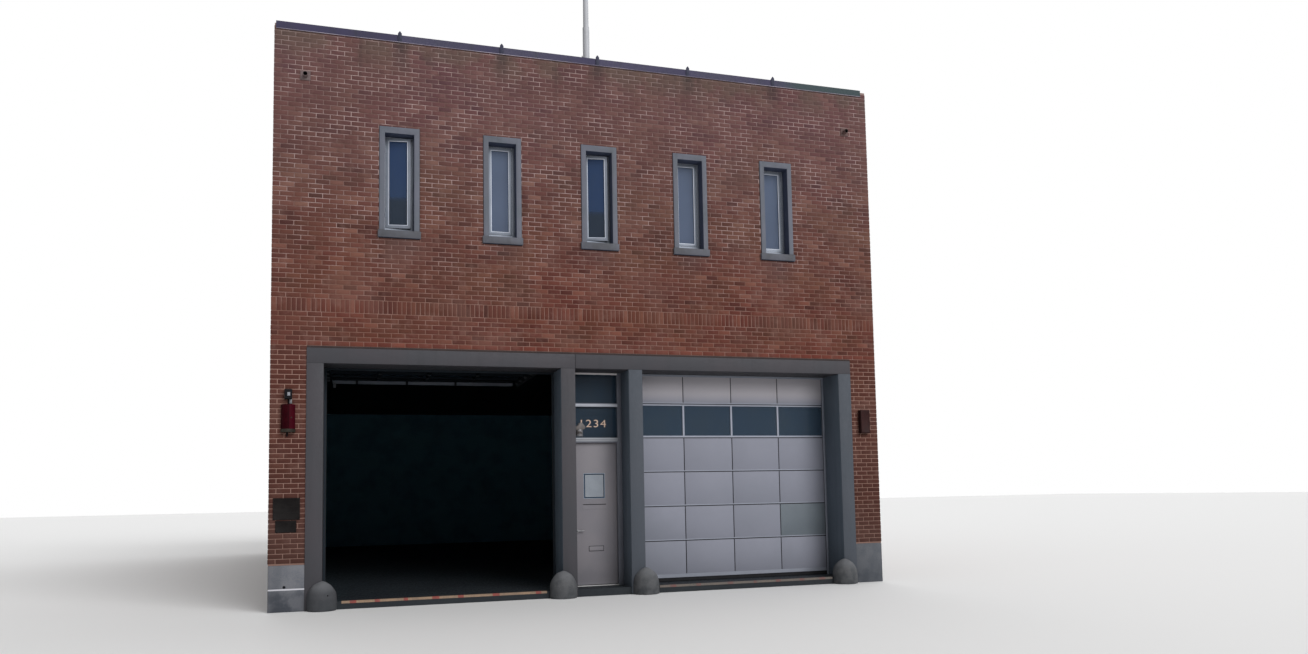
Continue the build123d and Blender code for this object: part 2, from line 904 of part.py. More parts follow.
# The pieces, each written under its own name
uprights = {
    "portal_left_jamb": make_upright(-portal_half, -bay_outer),
    "portal_left_post": make_upright(-bay_inner, -entry_half),
    "portal_right_post": make_upright(entry_half, bay_inner),
    "portal_right_jamb": make_upright(bay_outer, portal_half),
}
feet = list(uprights.values())
plinths = make_plinths()
guards = make_guards(feet + plinths)
for name, upright in uprights.items():
    save(name, upright)
save("portal_lintel", make_lintel())
save("front_wall", make_front_wall())
save("left_pier", make_pier(-1))
save("right_pier", make_pier(1))
save("plinths", plinths)
save("left_party_wall", make_party_wall(-1))
save("right_party_wall", make_party_wall(1))
save("rear_wall", make_rear_wall())
save("ground_slab", make_ground_slab(feet + guards))
save("upper_floor_slab", make_floor(upper_floor_level, upper_floor_thickness))
save("roof_slab", make_floor(roof_level, roof_thickness))
save("roof_membrane", make_membrane())
save("coping_front", make_cross_coping(front, 1, coping_right_inset))
save("coping_rear", make_cross_coping(rear, -1, coping_end_inset))
save("coping_sides", make_side_copings())

save("window_surrounds", both_walls(make_surround))
save("window_frames", both_walls(make_window_frame))
save("window_sashes", both_walls(make_sash, turns=True))
save("window_glass", both_walls(make_sash_glass, turns=True))
save("window_barrels", [place * barrel for barrel in make_sash_barrels()
                        for x in window_row
                        for place in (Pos(x, front, 0), Pos(x, rear, 0) * Rot(0, 0, 180))])

sections = [make_section(index) for index in range(section_count)]
panels = [panel for index in range(section_count) if index != glazed_index for panel in make_panels(index)]
carriers = make_centre_hinges() + make_roller_hinges()
for name, place, bay in (("left_door", raise_up, -bay_centre), ("right_door", hang, bay_centre)):
    save(f"{name}_sections", [place(bay, section) for section in sections])
    save(f"{name}_panels", [place(bay, panel) for panel in panels])
save("bay_door_glass", [place(bay, pane) for pane in make_door_glass()
                        for place, bay in ((raise_up, -bay_centre), (hang, bay_centre))])
save("bay_door_seals", [raise_up(-bay_centre, make_seal()), hang(bay_centre, make_seal())])
save("bay_door_hinges", [place(bay, carrier) for carrier in carriers
                         for place, bay in ((raise_up, -bay_centre), (hang, bay_centre))])
save("bay_door_tracks", make_tracks(-bay_centre) + make_tracks(bay_centre))
save("bay_door_shafts", [make_spring_shaft(-bay_centre), make_spring_shaft(bay_centre)])

entry_frame = make_entry_frame()
save("entry_frame", entry_frame)
save("transom_glass", make_transom_glass())
save("entry_threshold", make_threshold(entry_frame))
save("entry_door_leaf", make_leaf())
save("entry_frame_hinges", make_frame_butts())
save("entry_leaf_hinges", make_leaf_butts())
save("entry_levers", make_levers())
save("mail_slot", make_mail_slot())

save("wheel_guards", guards)
save("pier_lamp", make_lamp_box())
save("alarm_housing", make_alarm())
save("right_pier_box", make_side_box())
save("overflow_pipes", make_overflow_pipes())
save("post_lamp", make_post_lamp())
save("flagpole", make_flagpole())
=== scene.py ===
import json
import math

import bpy
import numpy as np
from mathutils import Matrix, Vector, noise

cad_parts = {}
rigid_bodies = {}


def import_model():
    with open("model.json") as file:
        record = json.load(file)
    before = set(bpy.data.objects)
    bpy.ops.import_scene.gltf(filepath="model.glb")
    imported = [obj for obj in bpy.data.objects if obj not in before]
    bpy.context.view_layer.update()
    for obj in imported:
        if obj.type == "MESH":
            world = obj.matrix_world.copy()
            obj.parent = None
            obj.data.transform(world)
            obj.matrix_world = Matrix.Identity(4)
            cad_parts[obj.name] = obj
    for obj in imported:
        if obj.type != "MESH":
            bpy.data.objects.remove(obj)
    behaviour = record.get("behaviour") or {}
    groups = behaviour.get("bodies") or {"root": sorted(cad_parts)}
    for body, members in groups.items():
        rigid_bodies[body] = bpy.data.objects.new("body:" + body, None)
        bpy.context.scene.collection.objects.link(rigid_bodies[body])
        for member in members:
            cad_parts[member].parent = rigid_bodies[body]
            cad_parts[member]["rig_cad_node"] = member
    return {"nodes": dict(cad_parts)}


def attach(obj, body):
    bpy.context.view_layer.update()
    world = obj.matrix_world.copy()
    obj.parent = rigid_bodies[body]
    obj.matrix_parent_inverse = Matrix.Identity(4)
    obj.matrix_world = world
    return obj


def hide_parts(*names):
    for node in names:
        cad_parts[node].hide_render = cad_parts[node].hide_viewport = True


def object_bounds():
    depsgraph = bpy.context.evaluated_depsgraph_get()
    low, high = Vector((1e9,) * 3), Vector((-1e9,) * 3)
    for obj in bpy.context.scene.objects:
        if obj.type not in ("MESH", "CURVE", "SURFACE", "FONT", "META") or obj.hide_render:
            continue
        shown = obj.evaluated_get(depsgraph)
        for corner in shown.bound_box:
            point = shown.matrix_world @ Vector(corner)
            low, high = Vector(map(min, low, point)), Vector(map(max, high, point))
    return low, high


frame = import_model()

# anything that a fresh Blender file brings along goes first
for spare in list(bpy.data.objects):
    if "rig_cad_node" not in spare and not spare.name.startswith("body:"):
        bpy.data.objects.remove(spare)
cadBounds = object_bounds()
nodes = frame["nodes"]
chance = np.random.default_rng(71)
print("frame loaded")


# small tools for nodes

def feed(tree, socket, value):
    # a number or a colour is set on the socket, and an output is linked to it
    if isinstance(value, (int, float)):
        socket.default_value = value
    elif isinstance(value, tuple):
        socket.default_value = (*value, 1)
    else:
        tree.links.new(value, socket)


def addMath(tree, operation, first, second=None):
    node = tree.nodes.new("ShaderNodeMath")
    node.operation = operation
    feed(tree, node.inputs[0], first)
    if second is not None:
        feed(tree, node.inputs[1], second)
    return node.outputs[0]


def multiply(tree, *masks):
    product = masks[0]
    for mask in masks[1:]:
        product = addMath(tree, "MULTIPLY", product, mask)
    return product


def addSpread(tree, value, span, result=(0.0, 1.0), kind="SMOOTHSTEP"):
    # turns the values of a span into those of the result
    spread = tree.nodes.new("ShaderNodeMapRange")
    spread.interpolation_type = kind
    for label, given in zip(("Value", "From Min", "From Max", "To Min", "To Max"), (value, *span, *result)):
        feed(tree, spread.inputs[label], given)
    return spread.outputs["Result"]


def mapValue(tree, value, low, high):
    return addSpread(tree, value, (0.0, 1.0), (low, high), "LINEAR")


def splitVector(tree, vector):
    split = tree.nodes.new("ShaderNodeSeparateXYZ")
    tree.links.new(vector, split.inputs[0])
    return split.outputs


# camera, light and floor

cameraLook = {
    "place": (-4.1085, -24.931, 1.687),
    "yaw": 17.65,
    "pitch": 4.64,
    "roll": -1.10,
    "lens": 26.606,
    "sensor": 36,
    "shiftUp": 0.0669,
    "reach": 500,
}

lightLook = {
    "skyStrength": 0.34,
    "backdropStrength": 1,
    "sunHeight": 30,
    # where each sun comes from, its strength and its spread in degrees
    "suns": {
        "keyLight": ((0.40, -0.86, 0.50), 2.45, 42),
        "backLight": ((0.5, 0.85, 0.55), 1.5, 90),
    },
    "floorColour": (0.80, 0.80, 0.80, 1),
    "floorRoughness": 0.9,
    "floorSize": 260,
    "floorDrop": 0.002,
}


def placeCamera(look):
    yaw, pitch, roll = (math.radians(look[key]) for key in ("yaw", "pitch", "roll"))
    forward = Vector((math.sin(yaw) * math.cos(pitch), math.cos(yaw) * math.cos(pitch), math.sin(pitch)))
    levelRight = Vector((math.cos(yaw), -math.sin(yaw), 0))
    levelUp = levelRight.cross(forward)
    right = levelRight * math.cos(roll) + levelUp * math.sin(roll)
    up = levelUp * math.cos(roll) - levelRight * math.sin(roll)
    bpy.ops.object.camera_add(location=look["place"])
    camera = bpy.context.active_object
    camera.name = "photoCamera"
    turned = Matrix((right, up, -forward)).transposed().to_4x4()
    camera.matrix_world = Matrix.Translation(look["place"]) @ turned
    camera.data.lens = look["lens"]
    camera.data.sensor_width = look["sensor"]
    camera.data.shift_y = look["shiftUp"]
    camera.data.clip_end = look["reach"]
    bpy.context.scene.camera = camera


def addSun(name, height, comingFrom, strength, spread):
    bpy.ops.object.light_add(type="SUN", location=(0, 0, height))
    lamp = bpy.context.active_object
    lamp.name = name
    lamp.rotation_mode = "QUATERNION"
    lamp.rotation_quaternion = Vector(comingFrom).to_track_quat("Z", "Y")
    lamp.data.energy = strength
    lamp.data.angle = math.radians(spread)


def makeSky(look):
    # a soft grey sky lights the object; the camera, glass and gloss see white
    sky = bpy.data.worlds.new("studioSky")
    bpy.context.scene.world = sky
    sky.use_nodes = True
    tree = sky.node_tree
    tree.nodes.clear()
    output = tree.nodes.new("ShaderNodeOutputWorld")
    mix = tree.nodes.new("ShaderNodeMixShader")
    rays = tree.nodes.new("ShaderNodeLightPath").outputs
    seen = addMath(tree, "MAXIMUM", rays["Is Camera Ray"], rays["Is Glossy Ray"])
    seen = addMath(tree, "MAXIMUM", seen, rays["Is Transmission Ray"])
    tree.links.new(seen, mix.inputs["Fac"])
    for socket, strength in ((mix.inputs[1], look["skyStrength"]), (mix.inputs[2], look["backdropStrength"])):
        glow = tree.nodes.new("ShaderNodeBackground")
        glow.inputs["Color"].default_value = (1, 1, 1, 1)
        glow.inputs["Strength"].default_value = strength
        tree.links.new(glow.outputs[0], socket)
    tree.links.new(mix.outputs[0], output.inputs["Surface"])


def layFloor(look):
    height = cadBounds[0].z - look["floorDrop"]
    bpy.ops.mesh.primitive_plane_add(size=look["floorSize"], location=(0, 0, height))
    floor = bpy.context.active_object
    floor.name = "studioFloor"
    paint = bpy.data.materials.new("studioFloorPaint")
    paint.use_nodes = True
    shader = paint.node_tree.nodes["Principled BSDF"]
    shader.inputs["Base Color"].default_value = look["floorColour"]
    shader.inputs["Roughness"].default_value = look["floorRoughness"]
    floor.data.materials.append(paint)


bpy.context.scene.view_settings.view_transform = "Standard"
placeCamera(cameraLook)
makeSky(lightLook)
for name, sun in lightLook["suns"].items():
    addSun(name, lightLook["sunHeight"], *sun)
layFloor(lightLook)
print("camera, light and floor are set")


# small tools for modelling

def makeActive(piece):
    bpy.ops.object.select_all(action="DESELECT")
    piece.select_set(True)
    bpy.context.view_layer.objects.active = piece


def settlePlace(piece, name):
    piece.name = name
    makeActive(piece)
    bpy.ops.object.transform_apply(location=True, rotation=True, scale=True)
    return piece


def addBlock(name, low, high):
    bpy.ops.mesh.primitive_cube_add(size=1, location=[(a + b) / 2 for a, b in zip(low, high)])
    block = bpy.context.active_object
    block.scale = [b - a for a, b in zip(low, high)]
    return settlePlace(block, name)


def addRod(name, start, end, radius, sides=20):
    start, end = Vector(start), Vector(end)
    bpy.ops.mesh.primitive_cylinder_add(vertices=sides, radius=radius, depth=(end - start).length)
    rod = bpy.context.active_object
    rod.rotation_mode = "QUATERNION"
    rod.rotation_quaternion = (end - start).to_track_quat("Z", "Y")
    rod.location = (start + end) / 2
    return settlePlace(rod, name)


def applyModifier(piece, modifier):
    makeActive(piece)
    bpy.ops.object.modifier_apply(modifier=modifier.name)


def roundEdges(piece, width, segments=2, angle=30):
    bevel = piece.modifiers.new("roundedEdges", "BEVEL")
    bevel.width = width
    bevel.segments = segments
    bevel.limit_method = "ANGLE"
    bevel.angle_limit = math.radians(angle)
    applyModifier(piece, bevel)


def editAll(piece):
    makeActive(piece)
    bpy.ops.object.mode_set(mode="EDIT")
    bpy.ops.mesh.select_all(action="SELECT")


def leaveEdit():
    bpy.ops.object.mode_set(mode="OBJECT")


def selectFaces(piece, test):
    makeActive(piece)
    bpy.ops.object.mode_set(mode="EDIT")
    bpy.ops.mesh.select_mode(type="FACE")
    bpy.ops.mesh.select_all(action="DESELECT")
    leaveEdit()
    for face in piece.data.polygons:
        face.select = bool(test(face.center, face.normal))
    bpy.ops.object.mode_set(mode="EDIT")


def removeFaces(piece, test):
    selectFaces(piece, test)
    bpy.ops.mesh.delete(type="FACE")
    leaveEdit()


def keepFaces(piece, test):
    removeFaces(piece, lambda centre, normal: not test(centre, normal))


def pushOut(value):
    bpy.ops.mesh.extrude_region_move(TRANSFORM_OT_translate={"value": value})


# how much of a normal lies along an axis when the face is square to it, or at least turned to it
squareOn = 0.9
turnedTo = 0.7


def facesStreet(centre, normal):
    return normal.y < -squareOn


def stepFront(piece, margin, step):
    # a margin round the face towards the street, and the field inside it set back, or forward if below 0
    selectFaces(piece, facesStreet)
    bpy.ops.mesh.inset(thickness=margin)
    pushOut((0, step, 0))
    leaveEdit()
    return piece


def joinPieces(name, pieces):
    bpy.ops.object.select_all(action="DESELECT")
    for piece in pieces:
        piece.select_set(True)
    bpy.context.view_layer.objects.active = pieces[0]
    if len(pieces) > 1:
        bpy.ops.object.join()
    pieces[0].name = name
    return pieces[0]


def copyPiece(piece, name, place):
    twin = piece.copy()
    twin.data = piece.data.copy()
    twin.name = name
    bpy.context.scene.collection.objects.link(twin)
    twin.data.transform(place)
    return twin


def repeatPiece(pattern, name, places):
    copies = [copyPiece(pattern, f"{name}Copy{number}", place) for number, place in enumerate(places)]
    bpy.data.objects.remove(pattern)
    return joinPieces(name, copies)


def shiftBy(x=0, y=0, z=0):
    return Matrix.Translation((x, y, z))


def faceOutwards(piece):
    editAll(piece)
    bpy.ops.mesh.normals_make_consistent(inside=False)
    leaveEdit()
    return piece


def drawProfile(name, outline, along):
    # a flat outline, pushed out in one direction
    bpy.ops.mesh.primitive_circle_add(vertices=len(outline), fill_type="NGON")
    piece = bpy.context.active_object
    for vertex, place in zip(piece.data.vertices, outline):
        vertex.co = place
    settlePlace(piece, name)
    editAll(piece)
    pushOut(along)
    leaveEdit()
    return faceOutwards(piece)


def drawAcross(name, section, start, length):
    # a (y, z) section, drawn along the front from its start
    return drawProfile(name, [(start, y, z) for y, z in section], (length, 0, 0))


def drawUp(name, section, foot, height):
    # an (x, y) section, drawn upwards from its foot
    return drawProfile(name, [(x, y, foot) for x, y in section], (0, 0, height))


def addRing(name, low, high, margin, near, far):
    # a flat frame that stands in the plane of the front; low and high are its (x, z) corners
    middle = ((low[0] + high[0]) / 2, near, (low[1] + high[1]) / 2)
    bpy.ops.mesh.primitive_plane_add(size=1, location=middle, rotation=(math.pi / 2, 0, 0))
    ring = bpy.context.active_object
    ring.scale = (high[0] - low[0], high[1] - low[1], 1)
    settlePlace(ring, name)
    editAll(ring)
    bpy.ops.mesh.inset(thickness=margin)
    bpy.ops.mesh.delete(type="FACE")
    bpy.ops.mesh.select_all(action="SELECT")
    pushOut((0, far - near, 0))
    leaveEdit()
    return faceOutwards(ring)


def cutAway(piece, place, normal):
    # cuts the piece at a plane, drops the side that the normal points to, and closes the cut
    editAll(piece)
    bpy.ops.mesh.bisect(plane_co=place, plane_no=normal, use_fill=True, clear_outer=True)
    leaveEdit()


copyLook = {"merge": 0.00005, "flatAngle": 1, "smoothAngle": 32}


def copyOfNode(node, name, edge=0.0, segments=2):
    # a CAD node's own copy, with its loose triangles merged and its flat faces made whole
    mesh = nodes[node].data.copy()
    mesh.materials.clear()
    piece = bpy.data.objects.new(name, mesh)
    bpy.context.scene.collection.objects.link(piece)
    makeActive(piece)
    if mesh.has_custom_normals:
        bpy.ops.mesh.customdata_custom_splitnormals_clear()
    editAll(piece)
    bpy.ops.mesh.remove_doubles(threshold=copyLook["merge"])
    bpy.ops.mesh.dissolve_limited(angle_limit=math.radians(copyLook["flatAngle"]))
    bpy.ops.mesh.select_all(action="DESELECT")
    leaveEdit()
    if edge:
        roundEdges(piece, edge, segments)
    return piece


def finishPiece(piece, finish, replaced=(), edge=0.0, segments=2, body="building",
                smooth=copyLook["smoothAngle"]):
    if edge:
        roundEdges(piece, edge, segments)
    piece.data.materials.clear()
    piece.data.materials.append(finishes[finish])
    makeActive(piece)
    bpy.ops.object.shade_smooth_by_angle(angle=math.radians(smooth))
    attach(piece, body)
    if replaced:
        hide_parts(*replaced)
    return piece


def paintFaces(piece, finish, test):
    piece.data.materials.append(finishes[finish])
    for face in piece.data.polygons:
        if test(face.center, face.normal):
            face.material_index = len(piece.data.materials) - 1


# effects that several finishes share; each puts out one mask

def startGroup(name, **inputs):
    # an input without a value of its own is a vector
    group = bpy.data.node_groups.new(name, "ShaderNodeTree")
    for label, value in inputs.items():
        kind = "NodeSocketVector" if value is None else "NodeSocketFloat"
        socket = group.interface.new_socket(name=label, in_out="INPUT", socket_type=kind)
        if value is not None:
            socket.default_value = value
    group.interface.new_socket(name="Mask", in_out="OUTPUT", socket_type="NodeSocketFloat")
    return group, group.nodes.new("NodeGroupInput").outputs


def endGroup(group, mask):
    result = group.nodes.new("NodeGroupOutput")
    group.links.new(mask, result.inputs["Mask"])
    return group


def addNoise(tree, vector, scale, detail):
    texture = tree.nodes.new("ShaderNodeTexNoise")
    tree.links.new(vector, texture.inputs["Vector"])
    feed(tree, texture.inputs["Scale"], scale)
    feed(tree, texture.inputs["Detail"], detail)
    return texture.outputs["Fac"]


def makePatchGroup():
    group, given = startGroup("patches", Vector=None, Scale=1.0, Detail=3.0, From=0.4, To=0.6)
    cloud = addNoise(group, given["Vector"], given["Scale"], given["Detail"])
    return endGroup(group, addSpread(group, cloud, (given["From"], given["To"])))


def makeRunsGroup():
    group, given = startGroup("waterRuns", Vector=None, Across=6.0, Down=0.4, From=0.5, To=0.7)
    split = splitVector(group, given["Vector"])
    build = group.nodes.new("ShaderNodeCombineXYZ")
    for axis, factor in (("X", "Across"), ("Y", "Across"), ("Z", "Down")):
        group.links.new(multiply(group, split[axis], given[factor]), build.inputs[axis])
    cloud = addNoise(group, build.outputs[0], 1, 3)
    return endGroup(group, addSpread(group, cloud, (given["From"], given["To"])))


def makeFadeGroup(name, axis):
    group, given = startGroup(name, Vector=None, Full=0.0, Gone=1.0)
    along = splitVector(group, given["Vector"])[axis]
    return endGroup(group, addSpread(group, along, (given["Full"], given["Gone"]), (1, 0)))


def makeInsideGroup():
    group, given = startGroup("insideShell", Vector=None, HalfWidth=4.95, HalfDepth=8.84, Roof=8.31)
    split = splitVector(group, given["Vector"])
    across = addMath(group, "LESS_THAN", addMath(group, "ABSOLUTE", split["X"]), given["HalfWidth"])
    along = addMath(group, "LESS_THAN", addMath(group, "ABSOLUTE", split["Y"]), given["HalfDepth"])
    under = addMath(group, "LESS_THAN", split["Z"], given["Roof"])
    return endGroup(group, multiply(group, across, along, under))


def makeWornAndGlintGroup():
    # an edge shows where the rounded normal leaves the flat one
    group, given = startGroup("wornAndGlintEdges", Radius=0.006, Strength=6.0, Breakup=1.0)
    rounded = group.nodes.new("ShaderNodeBevel")
    rounded.samples = 4
    group.links.new(given["Radius"], rounded.inputs["Radius"])
    dot = group.nodes.new("ShaderNodeVectorMath")
    dot.operation = "DOT_PRODUCT"
    group.links.new(rounded.outputs[0], dot.inputs[0])
    group.links.new(group.nodes.new("ShaderNodeNewGeometry").outputs["Normal"], dot.inputs[1])
    turned = addMath(group, "SUBTRACT", 1.0, dot.outputs["Value"])
    clamp = group.nodes.new("ShaderNodeClamp")
    group.links.new(multiply(group, turned, given["Strength"], given["Breakup"]), clamp.inputs["Value"])
    return endGroup(group, clamp.outputs[0])


effects = {
    "patches": makePatchGroup(),
    "waterRuns": makeRunsGroup(),
    "heightFade": makeFadeGroup("heightFade", "Z"),
    "lengthFade": makeFadeGroup("lengthFade", "X"),
    "depthFade": makeFadeGroup("depthFade", "Y"),
    "insideShell": makeInsideGroup(),
    "wornAndGlintEdges": makeWornAndGlintGroup(),
}


# finishes

def startFinish(name):
    finish = bpy.data.materials.new(name)
    finish.use_nodes = True
    tree = finish.node_tree
    shader = tree.nodes["Principled BSDF"]
    place = tree.nodes.new("ShaderNodeTexCoord")
    return finish, tree, shader, place.outputs["Object"]


def useEffect(tree, effect, vector=None, **values):
    node = tree.nodes.new("ShaderNodeGroup")
    node.node_tree = effects[effect]
    if vector is not None:
        tree.links.new(vector, node.inputs["Vector"])
    for label, value in values.items():
        feed(tree, node.inputs[label], value)
    return node.outputs["Mask"]


def addPatches(tree, vector, scale, detail, start, full):
    return useEffect(tree, "patches", vector, Scale=scale, Detail=detail, From=start, To=full)


def fadeUp(tree, vector, full, gone):
    return useEffect(tree, "heightFade", vector, Full=full, Gone=gone)


def mixColour(tree, amount, first, second, blend="MIX"):
    mix = tree.nodes.new("ShaderNodeMix")
    mix.data_type = "RGBA"
    mix.blend_type = blend
    # the node's inputs 6 and 7 and its output 2 are those for colours
    for index, value in ((0, amount), (6, first), (7, second)):
        feed(tree, mix.inputs[index], value)
    return mix.outputs[2]


def tint(tree, colour, mask, share, shade, blend="MIX"):
    # lays a share of the shade over the colour, where the mask is
    return mixColour(tree, multiply(tree, mask, share), colour, shade, blend)


def addRelief(tree, shader, vector, layers):
    # each layer is (scale, detail, depth in metres, strength)
    normal = None
    for scale, detail, depth, strength in layers:
        bump = tree.nodes.new("ShaderNodeBump")
        bump.inputs["Distance"].default_value = depth
        bump.inputs["Strength"].default_value = strength
        tree.links.new(addNoise(tree, vector, scale, detail), bump.inputs["Height"])
        if normal is not None:
            tree.links.new(normal, bump.inputs["Normal"])
        normal = bump.outputs["Normal"]
    tree.links.new(normal, shader.inputs["Normal"])


# what a finish has unless its own look says otherwise; patches are (detail, where one starts, is full)
plainLook = {
    "broad": 0.7, "broadPatches": (4.0, 0.38, 0.66), "fine": 0.2, "fineScale": 45,
    "finePatches": (5.0, 0.35, 0.70), "runsAcross": 9, "runsDown": 0.5, "runsSpan": (0.5, 0.75),
    "footBreakup": (0.45, 1.0), "wornAndGlintRadius": 0.004, "wornAndGlintStrength": 5.0, "wornAndGlintBreakup": (0.2, 1.2),
    "roughness": (0.4, 0.6), "metallic": 0.0, "specular": 0.2, "relief": [(60, 4, 0.0006, 0.4)],
}


def makeFinish(name, own):
    look = {**plainLook, **own}
    finish, tree, shader, vector = startFinish(name)
    broad = addPatches(tree, vector, look["broadScale"], *look["broadPatches"])
    fine = addPatches(tree, vector, look["fineScale"], *look["finePatches"])
    colour = tint(tree, look["colour"], broad, look["broad"], look["second"])
    colour = tint(tree, colour, fine, look["fine"], look["fleck"])
    if "runs" in look:
        start, full = look["runsSpan"]
        runs = useEffect(tree, "waterRuns", vector, Across=look["runsAcross"], Down=look["runsDown"],
                         From=start, To=full)
        colour = tint(tree, colour, runs, look["runs"], look["runsColour"])
    if "end" in look:
        near, far = look["endSpan"]
        end = useEffect(tree, "lengthFade", vector, Full=far, Gone=near)
        colour = tint(tree, colour, end, look["end"], look["endColour"])
    if "foot" in look:
        foot = fadeUp(tree, vector, *look["footHeights"])
        ragged = multiply(tree, foot, mapValue(tree, broad, *look["footBreakup"]))
        colour = tint(tree, colour, ragged, look["foot"], look["footColour"])
    # paler towards the top: painted light
    if "head" in look:
        low, high = look["headHeights"]
        colour = tint(tree, colour, fadeUp(tree, vector, high, low), look["head"], look["headColour"])
    if "band" in look:
        low, high = look["bandHeights"]
        edge = look["bandEdge"]
        band = addMath(tree, "SUBTRACT", fadeUp(tree, vector, high, high + edge),
                       fadeUp(tree, vector, low - edge, low))
        colour = tint(tree, colour, band, look["band"], look["bandColour"])
    # paler or darker edges: wear on most finishes, painted highlights on the window aluminium
    if "wornAndGlint" in look:
        wornAndGlint = useEffect(tree, "wornAndGlintEdges", Radius=look["wornAndGlintRadius"], Strength=look["wornAndGlintStrength"],
                         Breakup=mapValue(tree, fine, *look["wornAndGlintBreakup"]))
        colour = tint(tree, colour, wornAndGlint, look["wornAndGlint"], look["wornAndGlintColour"])
    tree.links.new(colour, shader.inputs["Base Color"])
    tree.links.new(mapValue(tree, fine, *look["roughness"]), shader.inputs["Roughness"])
    shader.inputs["Metallic"].default_value = look["metallic"]
    shader.inputs["Specular IOR Level"].default_value = look["specular"]
    addRelief(tree, shader, vector, look["relief"])
    return finish


plainGlass = {
    "dust": 0.6, "dustPatches": (2.5, 4.0, 0.35, 0.75), "clear": 0.5, "specular": 0.03, "ior": 1.25,
    "roughness": (0.02, 0.10),
}


def makeGlass(name, own):
    look = {**plainGlass, **own}
    finish, tree, shader, vector = startFinish(name)
    dust = addPatches(tree, vector, *look["dustPatches"])
    colour = tint(tree, look["colour"], dust, look["dust"], look["dustColour"])
    # a darker foot, as a painted reflection
    if "foot" in look:
        foot = fadeUp(tree, vector, *look["footHeights"])
        colour = tint(tree, colour, foot, look["foot"], look["footColour"])
    tree.links.new(colour, shader.inputs["Base Color"])
    tree.links.new(mapValue(tree, dust, *look["roughness"]), shader.inputs["Roughness"])
    shader.inputs["Transmission Weight"].default_value = look["clear"]
    shader.inputs["Specular IOR Level"].default_value = look["specular"]
    shader.inputs["IOR"].default_value = look["ior"]
    shader.inputs["Metallic"].default_value = 0.0
    return finish


